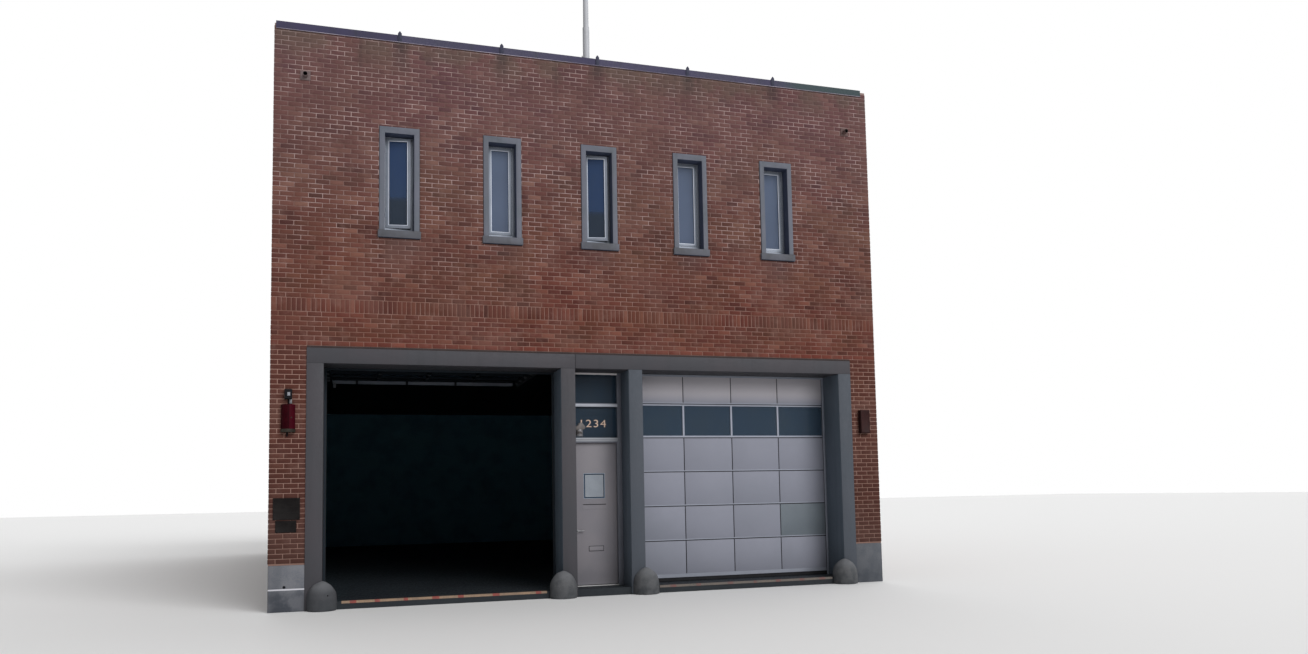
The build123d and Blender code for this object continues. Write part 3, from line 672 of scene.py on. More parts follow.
# what the finishes of a kind share, and what each has of its own
finishKinds = {
    "portal": {
        "shared": {
            "broadScale": 1.1, "fine": 0.22, "runs": 0.25, "foot": 0.4, "footHeights": (0.02, 0.8),
            "wornAndGlint": 0.4, "wornAndGlintRadius": 0.006, "wornAndGlintColour": (0.09, 0.09, 0.095), "roughness": (0.55, 0.78),
            "relief": [(38, 5, 0.0012, 0.5), (3, 3, 0.004, 0.3)],
        },
        "portalPaint": {
            "colour": (0.05, 0.047, 0.054), "second": (0.043, 0.045, 0.052), "fleck": (0.066, 0.063, 0.068),
            "runsColour": (0.033, 0.034, 0.038), "footColour": (0.034, 0.036, 0.038),
        },
        "portalPaintCool": {
            "colour": (0.059, 0.067, 0.082), "second": (0.052, 0.062, 0.077), "fleck": (0.066, 0.07, 0.08),
            "runsColour": (0.036, 0.041, 0.048), "footColour": (0.04, 0.044, 0.05),
        },
        # a paler copy of the portal paint for faces that look left: painted light
        "portalPaintedLightInner": {
            "colour": (0.092, 0.115, 0.144), "second": (0.082, 0.103, 0.13), "fleck": (0.102, 0.12, 0.146),
            "runsColour": (0.05, 0.058, 0.068), "footColour": (0.05, 0.056, 0.064),
            "wornAndGlintColour": (0.11, 0.11, 0.115),
        },
    },
    "windows": {
        "shared": {"broadScale": 3.0, "roughness": (0.35, 0.55), "relief": [(55, 5, 0.001, 0.45)]},
        "surroundPaint": {
            "colour": (0.106, 0.112, 0.142), "second": (0.088, 0.1, 0.122), "fleck": (0.14, 0.142, 0.162),
            "broad": 0.8, "runs": 0.35, "runsColour": (0.065, 0.072, 0.078), "foot": 0.75,
            "footHeights": (5.975, 5.985), "footColour": (0.058, 0.057, 0.063), "wornAndGlint": 0.5,
            "wornAndGlintColour": (0.18, 0.185, 0.2), "roughness": (0.5, 0.75),
        },
        # a darker copy for the reveals: painted shade in the recess of each window
        "surroundRevealShade": {
            "colour": (0.05, 0.06, 0.1), "second": (0.04, 0.05, 0.084), "fleck": (0.068, 0.076, 0.11),
            "broad": 0.8, "runs": 0.35, "runsColour": (0.03, 0.037, 0.054), "roughness": (0.6, 0.8),
        },
        # its pale edges, at full share, are painted highlights
        "windowAluminium": {
            "colour": (0.2, 0.224, 0.27), "second": (0.168, 0.19, 0.235), "fleck": (0.26, 0.27, 0.3),
            "broadScale": 4, "wornAndGlint": 1.0, "wornAndGlintRadius": 0.006, "wornAndGlintColour": (0.62, 0.64, 0.68),
            "metallic": 0.2, "relief": [(120, 3, 0.0002, 0.3)],
        },
        # much paler than the frames: painted highlights along the sash edges
        "beadPaintedHighlight": {
            "colour": (0.6, 0.64, 0.72), "second": (0.5, 0.54, 0.62), "fleck": (0.66, 0.69, 0.75),
            "broadScale": 4, "metallic": 0.2, "relief": [(120, 3, 0.0002, 0.3)],
        },
    },
    "overheadDoors": {
        "shared": {"broadScale": 1.5, "relief": [(140, 3, 0.0002, 0.3)]},
        "doorAluminium": {
            "colour": (0.235, 0.25, 0.3), "second": (0.2, 0.215, 0.26), "fleck": (0.29, 0.3, 0.34),
            "foot": 0.25, "footHeights": (0.2, 1.4), "footColour": (0.15, 0.16, 0.18),
            "roughness": (0.38, 0.6), "metallic": 0.15,
        },
        # paler from 3.26 m up to the top: painted light on the top row
        "doorPanel": {
            "colour": (0.205, 0.213, 0.258), "second": (0.185, 0.195, 0.235), "fleck": (0.225, 0.23, 0.265),
            "broad": 0.8, "broadScale": 0.8, "fine": 0.15, "fineScale": 20, "foot": 0.15,
            "footHeights": (0.2, 1.6), "footColour": (0.15, 0.158, 0.178), "head": 1.0,
            "headHeights": (3.26, 3.5), "headColour": (0.365, 0.35, 0.38), "roughness": (0.5, 0.72),
            "relief": [(90, 4, 0.0004, 0.35), (2.2, 2, 0.003, 0.3)],
        },
        "doorPanelMended": {
            "colour": (0.13, 0.153, 0.176), "second": (0.112, 0.132, 0.154), "fleck": (0.15, 0.165, 0.17),
            "broad": 0.9, "broadScale": 1.6, "fineScale": 20, "roughness": (0.5, 0.7),
            "relief": [(90, 4, 0.0004, 0.35)],
        },
        # near black: painted shade on the inner sides of the doors
        "doorBackShade": {
            "colour": (0.012, 0.017, 0.023), "second": (0.009, 0.013, 0.018), "fleck": (0.03, 0.034, 0.04),
            "roughness": (0.6, 0.8), "specular": 0.1,
        },
    },
    "metalware": {
        "shared": {
            "broad": 0.8, "broadScale": 15, "fine": 0.3, "metallic": 0.2, "relief": [(150, 3, 0.0002, 0.3)],
        },
        "galvanisedSteel": {
            "colour": (0.06, 0.064, 0.07), "second": (0.04, 0.043, 0.048), "fleck": (0.1, 0.1, 0.1),
            "broad": 0.9, "broadScale": 14, "fine": 0.4, "fineScale": 90, "roughness": (0.5, 0.7),
            "relief": [(90, 4, 0.0003, 0.3)],
        },
        "doorSteel": {
            "colour": (0.2, 0.2, 0.21), "second": (0.15, 0.15, 0.16), "fleck": (0.3, 0.3, 0.3),
            "broad": 0.7, "broadScale": 30, "fineScale": 150, "roughness": (0.3, 0.5), "metallic": 0.8,
            "relief": [(200, 3, 0.0001, 0.3)],
        },
        "thresholdMetal": {
            "colour": (0.42, 0.42, 0.42), "second": (0.3, 0.3, 0.3), "fleck": (0.5, 0.5, 0.5),
            "broadScale": 12, "roughness": (0.3, 0.55), "metallic": 0.6, "relief": [(160, 3, 0.0002, 0.3)],
        },
        "conduitGrey": {
            "colour": (0.14, 0.14, 0.15), "second": (0.1, 0.1, 0.11), "fleck": (0.2, 0.2, 0.2),
            "broadScale": 20, "metallic": 0.3,
        },
        "pipeMetal": {
            "colour": (0.15, 0.16, 0.17), "second": (0.1, 0.105, 0.11), "fleck": (0.22, 0.22, 0.22),
            "roughness": (0.45, 0.65), "relief": [(120, 3, 0.0003, 0.3)],
        },
        "postLampMetal": {
            "colour": (0.098, 0.088, 0.086), "second": (0.075, 0.068, 0.068), "fleck": (0.14, 0.125, 0.12),
        },
    },
    "outlets": {
        "shared": {
            "broad": 0.9, "broadScale": 14, "fine": 0.4, "fineScale": 70, "roughness": (0.7, 0.9),
            "relief": [(120, 4, 0.001, 0.5)],
        },
        "outletPlate": {
            "colour": (0.142, 0.102, 0.104), "second": (0.104, 0.08, 0.08), "fleck": (0.2, 0.155, 0.15),
        },
        "outletPlateSoiled": {
            "colour": (0.112, 0.066, 0.062), "second": (0.086, 0.056, 0.054), "fleck": (0.16, 0.115, 0.105),
        },
    },
    "entry": {
        "shared": {"broadScale": 3, "relief": [(60, 4, 0.0005, 0.35)]},
        "entryFramePaint": {
            "colour": (0.145, 0.152, 0.182), "second": (0.12, 0.128, 0.156), "fleck": (0.14, 0.145, 0.16),
            "broad": 0.8, "broadScale": 2, "wornAndGlint": 0.5, "wornAndGlintRadius": 0.003, "wornAndGlintColour": (0.2, 0.2, 0.21),
            "roughness": (0.45, 0.65), "relief": [(60, 4, 0.0006, 0.35)],
        },
        "entryLeafPaint": {
            "colour": (0.192, 0.181, 0.198), "second": (0.168, 0.161, 0.182), "fleck": (0.22, 0.21, 0.22),
            "broad": 0.8, "broadScale": 1.3, "fine": 0.15, "runs": 0.12,
            "runsColour": (0.135, 0.127, 0.135), "foot": 0.4, "footHeights": (0.14, 0.9),
            "footColour": (0.13, 0.13, 0.142), "wornAndGlint": 0.6, "wornAndGlintColour": (0.12, 0.11, 0.11),
            "roughness": (0.42, 0.6), "relief": [(80, 4, 0.0004, 0.3), (2.5, 2, 0.002, 0.25)],
        },
        "transomPaint": {
            "colour": (0.38, 0.4, 0.45), "second": (0.32, 0.34, 0.39), "fleck": (0.45, 0.46, 0.5),
        },
        "lowBarPaint": {
            "colour": (0.27, 0.285, 0.31), "second": (0.22, 0.235, 0.265), "fleck": (0.33, 0.33, 0.36),
        },
        # near white: painted light on the head bar, deep in the lintel's shade
        "headBarPaintedLight": {
            "colour": (0.74, 0.7, 0.71), "second": (0.64, 0.61, 0.62), "fleck": (0.78, 0.74, 0.73),
            "roughness": (0.45, 0.65),
        },
    },
    "coping": {
        "shared": {
            "colour": (0.04, 0.035, 0.076), "second": (0.036, 0.034, 0.062), "fleck": (0.056, 0.052, 0.086),
            "broad": 0.8, "broadScale": 2.0, "fine": 0.3, "wornAndGlintRadius": 0.005, "roughness": (0.5, 0.75),
            "relief": [(50, 4, 0.0008, 0.4)],
        },
        "copingMetal": {
            "runs": 0.35, "runsColour": (0.026, 0.03, 0.036), "wornAndGlint": 0.5, "wornAndGlintColour": (0.12, 0.12, 0.15),
        },
        "copingFrontMetal": {
            "runs": 0.35, "runsColour": (0.026, 0.03, 0.036), "end": 0.85, "endSpan": (3.34, 3.9),
            "endColour": (0.026, 0.047, 0.048), "wornAndGlint": 0.5, "wornAndGlintColour": (0.12, 0.12, 0.15),
        },
        "strapMetal": {
            "colour": (0.026, 0.027, 0.054), "second": (0.02, 0.022, 0.042), "fleck": (0.045, 0.045, 0.07),
            "broadScale": 5, "wornAndGlint": 0.3, "wornAndGlintRadius": 0.003, "wornAndGlintColour": (0.09, 0.09, 0.12),
            "relief": [(50, 4, 0.0006, 0.4)],
        },
        "dripWearAndHighlight": {
            "colour": (0.36, 0.32, 0.38), "second": (0.13, 0.11, 0.16), "fleck": (0.42, 0.38, 0.42),
            "broad": 0.95, "broadScale": 1.6, "fine": 0.25, "metallic": 0.2,
            "relief": [(50, 4, 0.0006, 0.4)],
        },
    },
    "pierFixtures": {
        "shared": {"broad": 0.8, "broadScale": 9, "runsAcross": 30, "wornAndGlint": 0.4, "specular": 0.02},
        "alarmRed": {
            "colour": (0.022, 0.0008, 0.0028), "second": (0.015, 0.0007, 0.0024),
            "fleck": (0.035, 0.008, 0.01), "runs": 0.4, "runsColour": (0.008, 0.0015, 0.002),
            "wornAndGlintColour": (0.05, 0.012, 0.014),
        },
        "alarmDoorRed": {
            "colour": (0.042, 0.0016, 0.006), "second": (0.032, 0.0014, 0.005),
            "fleck": (0.06, 0.012, 0.016), "runs": 0.3, "runsColour": (0.014, 0.002, 0.003),
            "wornAndGlintColour": (0.08, 0.02, 0.022),
        },
        "boxBrown": {
            "colour": (0.026, 0.0085, 0.0085), "second": (0.018, 0.0075, 0.008),
            "fleck": (0.045, 0.022, 0.02), "fine": 0.3, "runs": 0.4, "runsColour": (0.01, 0.006, 0.006),
            "wornAndGlint": 0.5, "wornAndGlintColour": (0.07, 0.04, 0.035), "roughness": (0.45, 0.65), "specular": 0.08,
        },
        "alarmBaseOlive": {
            "colour": (0.016, 0.014, 0.01), "second": (0.024, 0.02, 0.014), "fleck": (0.04, 0.035, 0.03),
            "broadScale": 12, "fine": 0.3, "wornAndGlintRadius": 0.003, "wornAndGlintColour": (0.05, 0.05, 0.04),
            "roughness": (0.5, 0.7), "specular": 0.15,
        },
        "lampBlack": {
            "colour": (0.005, 0.005, 0.007), "second": (0.008, 0.008, 0.01), "fleck": (0.02, 0.02, 0.02),
            "broad": 0.6, "broadScale": 20, "fine": 0.15, "wornAndGlint": 0.3, "wornAndGlintRadius": 0.003,
            "wornAndGlintColour": (0.05, 0.05, 0.05), "specular": 0.05,
        },
        "plaqueBronze": {
            "colour": (0.0075, 0.0065, 0.0068), "second": (0.011, 0.01, 0.01),
            "fleck": (0.018, 0.016, 0.015), "broad": 0.9, "broadScale": 8, "fine": 0.35, "fineScale": 60,
            "wornAndGlint": 0.5, "wornAndGlintRadius": 0.002, "wornAndGlintColour": (0.045, 0.038, 0.032),
            "roughness": (0.45, 0.65), "metallic": 0.1, "specular": 0.05, "relief": [(120, 4, 0.0005, 0.4)],
        },
    },
    "strips": {
        "shared": {"broadScale": 6, "fine": 0.3, "relief": [(80, 4, 0.0006, 0.4)]},
        # black for rubber seals and gaskets, and also painted shade in door grooves, joints and pipe bores
        "rubberAndShadeBlack": {
            "colour": (0.01, 0.01, 0.012), "second": (0.016, 0.016, 0.018), "fleck": (0.03, 0.03, 0.032),
            "roughness": (0.6, 0.85), "specular": 0.1,
        },
        "sealantDark": {
            "colour": (0.022, 0.018, 0.02), "second": (0.035, 0.03, 0.03), "fleck": (0.06, 0.05, 0.05),
            "roughness": (0.6, 0.85),
        },
        "steelAngle": {
            "colour": (0.022, 0.015, 0.016), "second": (0.034, 0.022, 0.022), "fleck": (0.06, 0.04, 0.03),
            "broad": 0.8, "broadScale": 4, "roughness": (0.6, 0.8), "relief": [(80, 4, 0.0008, 0.4)],
        },
        "weatherStripGrey": {
            "colour": (0.2, 0.215, 0.26), "second": (0.16, 0.175, 0.215), "fleck": (0.26, 0.27, 0.3),
            "broadScale": 2, "fine": 0.2, "relief": [(80, 4, 0.0003, 0.3)],
        },
    },
    "signs": {
        "shared": {"broad": 0.6, "roughness": (0.3, 0.45), "relief": [(200, 3, 0.0001, 0.2)]},
        "numeralGold": {
            "colour": (0.46, 0.33, 0.25), "second": (0.38, 0.26, 0.2), "fleck": (0.55, 0.42, 0.34),
            "broadScale": 12, "metallic": 0.2,
        },
        "signWhite": {
            "colour": (0.235, 0.26, 0.295), "second": (0.205, 0.23, 0.265), "fleck": (0.27, 0.29, 0.32),
            "broadScale": 6, "relief": [(80, 3, 0.0001, 0.2)],
        },
        "signBlue": {
            "colour": (0.02, 0.075, 0.16), "second": (0.016, 0.06, 0.13), "fleck": (0.04, 0.1, 0.19),
            "broadScale": 8, "relief": [(80, 3, 0.0001, 0.2)],
        },
        "lensWhite": {
            "colour": (0.24, 0.25, 0.28), "second": (0.18, 0.19, 0.22), "fleck": (0.3, 0.3, 0.32),
            "broad": 0.5, "broadScale": 30, "roughness": (0.25, 0.4), "specular": 0.1,
        },
    },
    "concrete": {
        "shared": {
            "broad": 0.9, "broadScale": 5, "fine": 0.4, "fineScale": 55, "roughness": (0.75, 0.92),
            "relief": [(120, 5, 0.0015, 0.5), (14, 5, 0.004, 0.45)],
        },
        "concrete": {
            "colour": (0.14, 0.144, 0.162), "second": (0.105, 0.112, 0.132), "fleck": (0.185, 0.185, 0.19),
            "runs": 0.3, "runsColour": (0.07, 0.077, 0.088), "foot": 0.9, "footHeights": (0.2, 0.42),
            "footColour": (0.04, 0.045, 0.056), "band": 1.0, "bandHeights": (0.326, 0.344),
            "bandEdge": 0.004, "bandColour": (0.5, 0.5, 0.54),
        },
        "concreteShaded": {
            "colour": (0.092, 0.098, 0.112), "second": (0.07, 0.078, 0.092), "fleck": (0.13, 0.13, 0.135),
            "runs": 0.3, "runsColour": (0.055, 0.062, 0.072), "foot": 0.8, "footHeights": (0.12, 0.5),
            "footColour": (0.05, 0.056, 0.067),
        },
        # the paler tops are painted light from above
        "guardConcrete": {
            "colour": (0.078, 0.08, 0.086), "second": (0.05, 0.054, 0.06), "fleck": (0.12, 0.12, 0.12),
            "broadScale": 9, "fineScale": 60, "foot": 0.7, "footHeights": (0.02, 0.24),
            "footColour": (0.03, 0.034, 0.038), "head": 0.7, "headHeights": (0.24, 0.42),
            "headColour": (0.15, 0.154, 0.165), "end": 0.65, "endSpan": (-3.0, -3.6),
            "endColour": (0.036, 0.038, 0.044), "roughness": (0.7, 0.9),
            "relief": [(150, 5, 0.0012, 0.5), (18, 5, 0.003, 0.4)],
        },
        # near black: painted shade for the dark inside of the hall
        "floorConcreteShade": {
            "colour": (0.013, 0.017, 0.021), "second": (0.009, 0.012, 0.016),
            "fleck": (0.024, 0.026, 0.028), "broadScale": 0.9, "fine": 0.3, "fineScale": 30,
            "roughness": (0.5, 0.8), "relief": [(90, 5, 0.0008, 0.4)],
        },
    },
    "nosing": {
        "shared": {
            "broad": 0.9, "broadScale": 9, "fine": 0.5, "fineScale": 40, "roughness": (0.6, 0.85),
            "relief": [(90, 5, 0.001, 0.5)],
        },
        "nosingSand": {
            "colour": (0.3, 0.2, 0.13), "second": (0.22, 0.15, 0.105), "fleck": (0.16, 0.13, 0.11),
            "broadScale": 5, "wornAndGlint": 0.7, "wornAndGlintColour": (0.14, 0.14, 0.14),
        },
        "nosingSandWorn": {
            "colour": (0.125, 0.105, 0.092), "second": (0.095, 0.088, 0.082), "fleck": (0.18, 0.15, 0.13),
            "broadScale": 4,
        },
        "nosingRed": {
            "colour": (0.26, 0.055, 0.045), "second": (0.19, 0.05, 0.042), "fleck": (0.16, 0.1, 0.09),
            "fineScale": 50, "relief": [(90, 5, 0.0008, 0.5)],
        },
        "nosingRedWorn": {
            "colour": (0.165, 0.07, 0.065), "second": (0.12, 0.08, 0.075), "fleck": (0.12, 0.1, 0.09),
            "fineScale": 50, "relief": [(90, 5, 0.0008, 0.5)],
        },
    },
    "roof": {
        "roofFelt": {
            "colour": (0.1, 0.105, 0.11), "second": (0.075, 0.08, 0.085), "fleck": (0.17, 0.17, 0.17),
            "broad": 0.9, "broadScale": 0.7, "fine": 0.5, "fineScale": 120, "roughness": (0.8, 0.95),
            "relief": [(260, 4, 0.0012, 0.6), (1.6, 3, 0.006, 0.4)],
        },
        "polePaint": {
            "colour": (0.44, 0.45, 0.48), "second": (0.36, 0.37, 0.39), "fleck": (0.5, 0.5, 0.52),
            "broadScale": 1.5, "runs": 0.2, "runsAcross": 20, "runsColour": (0.28, 0.28, 0.28),
            "roughness": (0.35, 0.55), "relief": [(80, 3, 0.0003, 0.3)],
        },
    },
}

finishes = {}
for looks in finishKinds.values():
    shared = looks.pop("shared", {})
    for name, own in looks.items():
        finishes[name] = makeFinish(name, {**shared, **own})

# the pane colours are painted reflections: deep blue and darker at the foot on the sashes that stand ajar,
# pale blue-grey on the closed sashes, dark on the door and transom glass
glassLooks = {
    "openSashReflectionGlass": {
        "colour": (0.056, 0.096, 0.200), "dustColour": (0.066, 0.106, 0.190), "dust": 0.5, "ior": 1.15,
        "foot": 0.85, "footHeights": (6.50, 6.62), "footColour": (0.056, 0.072, 0.094),
    },
    "closedSashReflectionGlass": {
        "colour": (0.125, 0.160, 0.243), "dustColour": (0.112, 0.143, 0.214), "clear": 0.3, "ior": 1.15,
    },
    "bayDoorGlass": {"colour": (0.050, 0.082, 0.126), "dustColour": (0.058, 0.086, 0.116)},
    "entryGlass": {"colour": (0.034, 0.060, 0.094), "dustColour": (0.042, 0.062, 0.086)},
}
for name, look in glassLooks.items():
    finishes[name] = makeGlass(name, look)
print("plain finishes are mixed")


# brickwork: the CAD walls show as mortar, and each brick stands a little proud of them

wallFace = -9.145
windowPitch = 1.665
windowCentres = [step * windowPitch for step in (-2, -1, 0, 1, 2)]
halfTurn = Matrix.Rotation(math.pi, 4, "Z")
# where something drawn at the middle front window goes: five front windows, then five rear ones
bothWalls = [shiftBy(x) for x in windowCentres]
bothWalls += [shift @ halfTurn for shift in bothWalls]

brickLook = {
    "width": 0.2,
    "height": 0.066,
    "courseHeight": 0.0762,
    "module": 0.2112,
    "joint": 0.0104,
    "firstJoint": -4.505,
    "soldierFoot": 4.606,
    "soldierHead": 4.820,
    "proud": 0.004,
    "bevel": 0.0022,
    "unevenAcross": 0.0012,
    "unevenUp": 0.0007,
    "unevenOut": 0.0012,
    "lean": 0.35,
    "setBack": (-1, 0.1),
    "leastCut": 0.012,
    "leastEnd": 0.055,
    # neighbours share much of their tone and hue; a few bricks stand out
    "tone": {"middle": 0.50, "drift": 0.42, "scale": 1.3, "spread": 0.17},
    "hue": {"middle": 0.30, "drift": 1.1, "scale": 0.9, "spread": 0.16},
    "hueShift": 40,
    "fractal": (0.8, 2.0, 3),
    "upDrift": 1.6,
    "toneLimits": (0.05, 0.95),
    "darkBelow": 0.03,
    "darkTones": (0.0, 0.15),
    "paleAbove": 0.985,
    "paleTones": (0.85, 1.0),
}

brickShades = {
    "tones": [
        (0.00, (0.060, 0.027, 0.025)),
        (0.28, (0.094, 0.039, 0.034)),
        (0.50, (0.114, 0.048, 0.040)),
        (0.72, (0.134, 0.058, 0.047)),
        (1.00, (0.200, 0.105, 0.082)),
    ],
    "hue": (0.36, (0.112, 0.068, 0.042)),
    # heights where it is full and gone, share, colour, blend, and whether it stays on the front
    "levels": [
        ((8.9, 5.8), 0.52, (0.118, 0.062, 0.074), "MIX", False),
        ((4.4, 7.4), 1.0, (0.90, 0.65, 0.59), "MULTIPLY", False),
        ((4.146, 4.150), 0.40, (0.170, 0.046, 0.034), "MIX", True),
        ((4.066, 4.072), 1.0, (0.60, 0.70, 0.72), "MULTIPLY", True),
    ],
    # scale, detail, where a patch starts and is full, share, colour
    "patches": {
        "cloud": (0.55, 4.0, 0.38, 0.64, 0.30, (0.092, 0.046, 0.037)),
        "wash": (1.6, 5.0, 0.50, 0.68, 0.30, (0.155, 0.084, 0.070)),
        "haze": (6.5, 5.0, 0.50, 0.74, 0.26, (0.200, 0.118, 0.100)),
        "fleck": (95, 4.0, 0.52, 0.70, 0.30, (0.048, 0.028, 0.026)),
    },
    "frontDepths": (-9.10, -8.95),
    "roughness": (0.80, 0.95),
    "specular": 0.06,
    "relief": [(210, 5, 0.0014, 0.7), (34, 4, 0.0035, 0.6)],
}

# how the dirt below, and the painted shadow under the sills, are broken up: patches, runs, and how far they
# reach beside the middle of a window
soilAndShadeBreakup = {
    "growth": (1.9, 5.0, 0.42, 0.60),
    "runs": {"Across": 4.5, "Down": 0.35, "From": 0.54, "To": 0.70},
    "middle": 0.02,
    "strapReach": 0.17,
    "sillReach": 0.46,
    "sillHeights": (5.86, 5.88),
}

# dirt on bricks and mortar, and a painted shadow below the sills: heights where each is full and gone, share
# and colour
soilAndShadeLook = {
    "growth": ((9.12, 8.45), 0.50, (0.092, 0.078, 0.060)),
    "runs": ((9.1, 7.8), 0.35, (0.055, 0.038, 0.036)),
    "strapRuns": ((9.12, 8.55), 0.60, (0.040, 0.034, 0.034)),
    "sillRunsAndShade": ((5.86, 5.30), 0.36, (0.064, 0.044, 0.048)),
    "soot": ((0.5, 3.4), 0.50, (0.034, 0.020, 0.017)),
}


def addRamp(tree, value, stops):
    ramp = tree.nodes.new("ShaderNodeValToRGB")
    while len(ramp.color_ramp.elements) < len(stops):
        ramp.color_ramp.elements.new(0.5)
    for element, (place, colour) in zip(ramp.color_ramp.elements, stops):
        element.position = place
        element.color = (*colour, 1)
    tree.links.new(value, ramp.inputs["Fac"])
    return ramp.outputs["Color"]


def nearWindows(tree, vector, reach):
    # 1 on the middle line of each window and of each strap on the coping, 0 further off than the reach
    across = splitVector(tree, vector)["X"]
    away = addMath(tree, "PINGPONG", across, windowPitch / 2)
    limit = len(windowCentres) * windowPitch / 2
    among = addMath(tree, "LESS_THAN", addMath(tree, "ABSOLUTE", across), limit)
    return multiply(tree, addSpread(tree, away, (soilAndShadeBreakup["middle"], reach), (1, 0)), among)


def onFront(tree, vector, mask):
    full, gone = brickShades["frontDepths"]
    return multiply(tree, mask, useEffect(tree, "depthFade", vector, Full=full, Gone=gone))


def soilAndShadeBrickwork(tree, vector, colour, strength):
    # grey-green growth under the coping, dark runs below it, a darkening below the sills that is partly runs
    # and partly painted shadow, and soot low down
    look = soilAndShadeBreakup
    belowSills = fadeUp(tree, vector, *look["sillHeights"])
    masks = {
        "growth": addPatches(tree, vector, *look["growth"]),
        "runs": useEffect(tree, "waterRuns", vector, **look["runs"]),
        "strapRuns": nearWindows(tree, vector, look["strapReach"]),
        # below each sill: partly dirt runs, partly painted shadow of the sill
        "sillRunsAndShade": multiply(tree, nearWindows(tree, vector, look["sillReach"]), belowSills),
    }
    for name, (heights, share, shade) in soilAndShadeLook.items():
        mask = fadeUp(tree, vector, *heights)
        if name in masks:
            mask = multiply(tree, mask, masks[name])
        colour = tint(tree, colour, mask, share * strength, shade)
    return colour


def readShare(tree, name):
    attribute = tree.nodes.new("ShaderNodeAttribute")
    attribute.attribute_name = name
    return attribute.outputs["Fac"]


def makeBrickFinish(look):
    finish, tree, shader, vector = startFinish("brickFace")
    colour = addRamp(tree, readShare(tree, "brickTone"), look["tones"])
    colour = tint(tree, colour, readShare(tree, "brickHue"), *look["hue"])
    for heights, share, shade, blend, frontOnly in look["levels"]:
        level = fadeUp(tree, vector, *heights)
        colour = tint(tree, colour, onFront(tree, vector, level) if frontOnly else level, share, shade, blend)
    masks = {}
    for name, (scale, detail, start, full, share, shade) in look["patches"].items():
        masks[name] = addPatches(tree, vector, scale, detail, start, full)
        colour = tint(tree, colour, masks[name], share, shade)
    colour = soilAndShadeBrickwork(tree, vector, colour, 1.0)
    tree.links.new(colour, shader.inputs["Base Color"])
    tree.links.new(mapValue(tree, masks["haze"], *look["roughness"]), shader.inputs["Roughness"])
    shader.inputs["Specular IOR Level"].default_value = look["specular"]
    addRelief(tree, shader, vector, look["relief"])
    return finish


# patches are (scale, detail, where one starts, is full), heights those where a colour is full and gone
mortarLook = {
    "colour": (0.186, 0.120, 0.112),
    "pale": (0.385, 0.286, 0.276),
    "palePatches": (2.3, 5.0, 0.40, 0.64),
    "missing": (0.70, (0.122, 0.067, 0.058)),
    "missingPatches": (3.6, 5.0, 0.50, 0.62),
    "warm": (0.74, (0.200, 0.098, 0.070)),
    "warmHeights": (4.4, 7.2),
    "repointed": (0.42, (0.39, 0.255, 0.21)),
    "repointedHeights": (3.95, 4.12),
    "grain": (0.22, (0.15, 0.10, 0.085)),
    "grainPatches": (180, 3.0, 0.40, 0.66),
    "scuffPatches": (2.0, 5.0, 0.42, 0.70),
    "soil": 0.7,
    "paint": (0.155, 0.340, 0.440),
    "scuffedPaint": (0.130, 0.285, 0.375),
    "roughness": (0.86, 0.96),
    "specular": 0.06,
    "relief": [(190, 5, 0.0014, 0.6)],
}


def makeMortarFinish(look):
    finish, tree, shader, vector = startFinish("brickMortar")
    patch = addPatches(tree, vector, *look["palePatches"])
    repointed = onFront(tree, vector, fadeUp(tree, vector, *look["repointedHeights"]))
    colour = mixColour(tree, patch, look["colour"], look["pale"])
    colour = tint(tree, colour, addPatches(tree, vector, *look["missingPatches"]), *look["missing"])
    colour = tint(tree, colour, fadeUp(tree, vector, *look["warmHeights"]), *look["warm"])
    colour = tint(tree, colour, repointed, *look["repointed"])
    colour = soilAndShadeBrickwork(tree, vector, colour, look["soil"])
    colour = tint(tree, colour, addPatches(tree, vector, *look["grainPatches"]), *look["grain"])
    # inside the shell the same walls are plainly painted
    scuffs = addPatches(tree, vector, *look["scuffPatches"])
    paint = mixColour(tree, scuffs, look["paint"], look["scuffedPaint"])
    colour = mixColour(tree, useEffect(tree, "insideShell", vector), colour, paint)
    tree.links.new(colour, shader.inputs["Base Color"])
    tree.links.new(mapValue(tree, patch, *look["roughness"]), shader.inputs["Roughness"])
    shader.inputs["Specular IOR Level"].default_value = look["specular"]
    addRelief(tree, shader, vector, look["relief"])
    return finish


finishes["brickFace"] = makeBrickFinish(brickShades)
finishes["brickMortar"] = makeMortarFinish(mortarLook)


def modelBrick(bevelled):
    # one brick with an open back; it gives the pattern that every brick is cast from
    width, height, proud = (brickLook[key] for key in ("width", "height", "proud"))
    brick = addBlock("brickPattern", (-width / 2, -proud, -height / 2), (width / 2, 0, height / 2))
    if bevelled:
        selectFaces(brick, facesStreet)
        bpy.ops.mesh.bevel(offset=brickLook["bevel"], segments=1)
        leaveEdit()
    removeFaces(brick, lambda centre, normal: normal.y > squareOn)
    corners = np.array([vertex.co for vertex in brick.data.vertices])
    signs = np.sign(corners[:, [0, 2]])
    pattern = {
        "signs": signs,
        "insets": corners[:, [0, 2]] - signs * (width / 2, height / 2),
        "depths": -corners[:, 1],
        "loops": np.array([loop.vertex_index for loop in brick.data.loops]),
        "starts": np.array([face.loop_start for face in brick.data.polygons]),
    }
    bpy.data.objects.remove(brick)
    return pattern


def cutRound(brick, holes):
    # what is left of a brick, as rectangles (left, right, foot, head), once the holes are cut from it
    parts = [brick]
    least = brickLook["leastCut"]
    for left, right, foot, head in holes:
        kept = []
        for start, end, low, high in parts:
            if end <= left or start >= right or high <= foot or low >= head:
                kept.append((start, end, low, high))
                continue
            if left - start > least:
                kept.append((start, left, low, high))
            if end - right > least:
                kept.append((right, end, low, high))
            inner, outer = max(start, left), min(end, right)
            if high - head > least:
                kept.append((inner, outer, head, high))
            if foot - low > least:
                kept.append((inner, outer, low, foot))
        parts = kept
    return parts


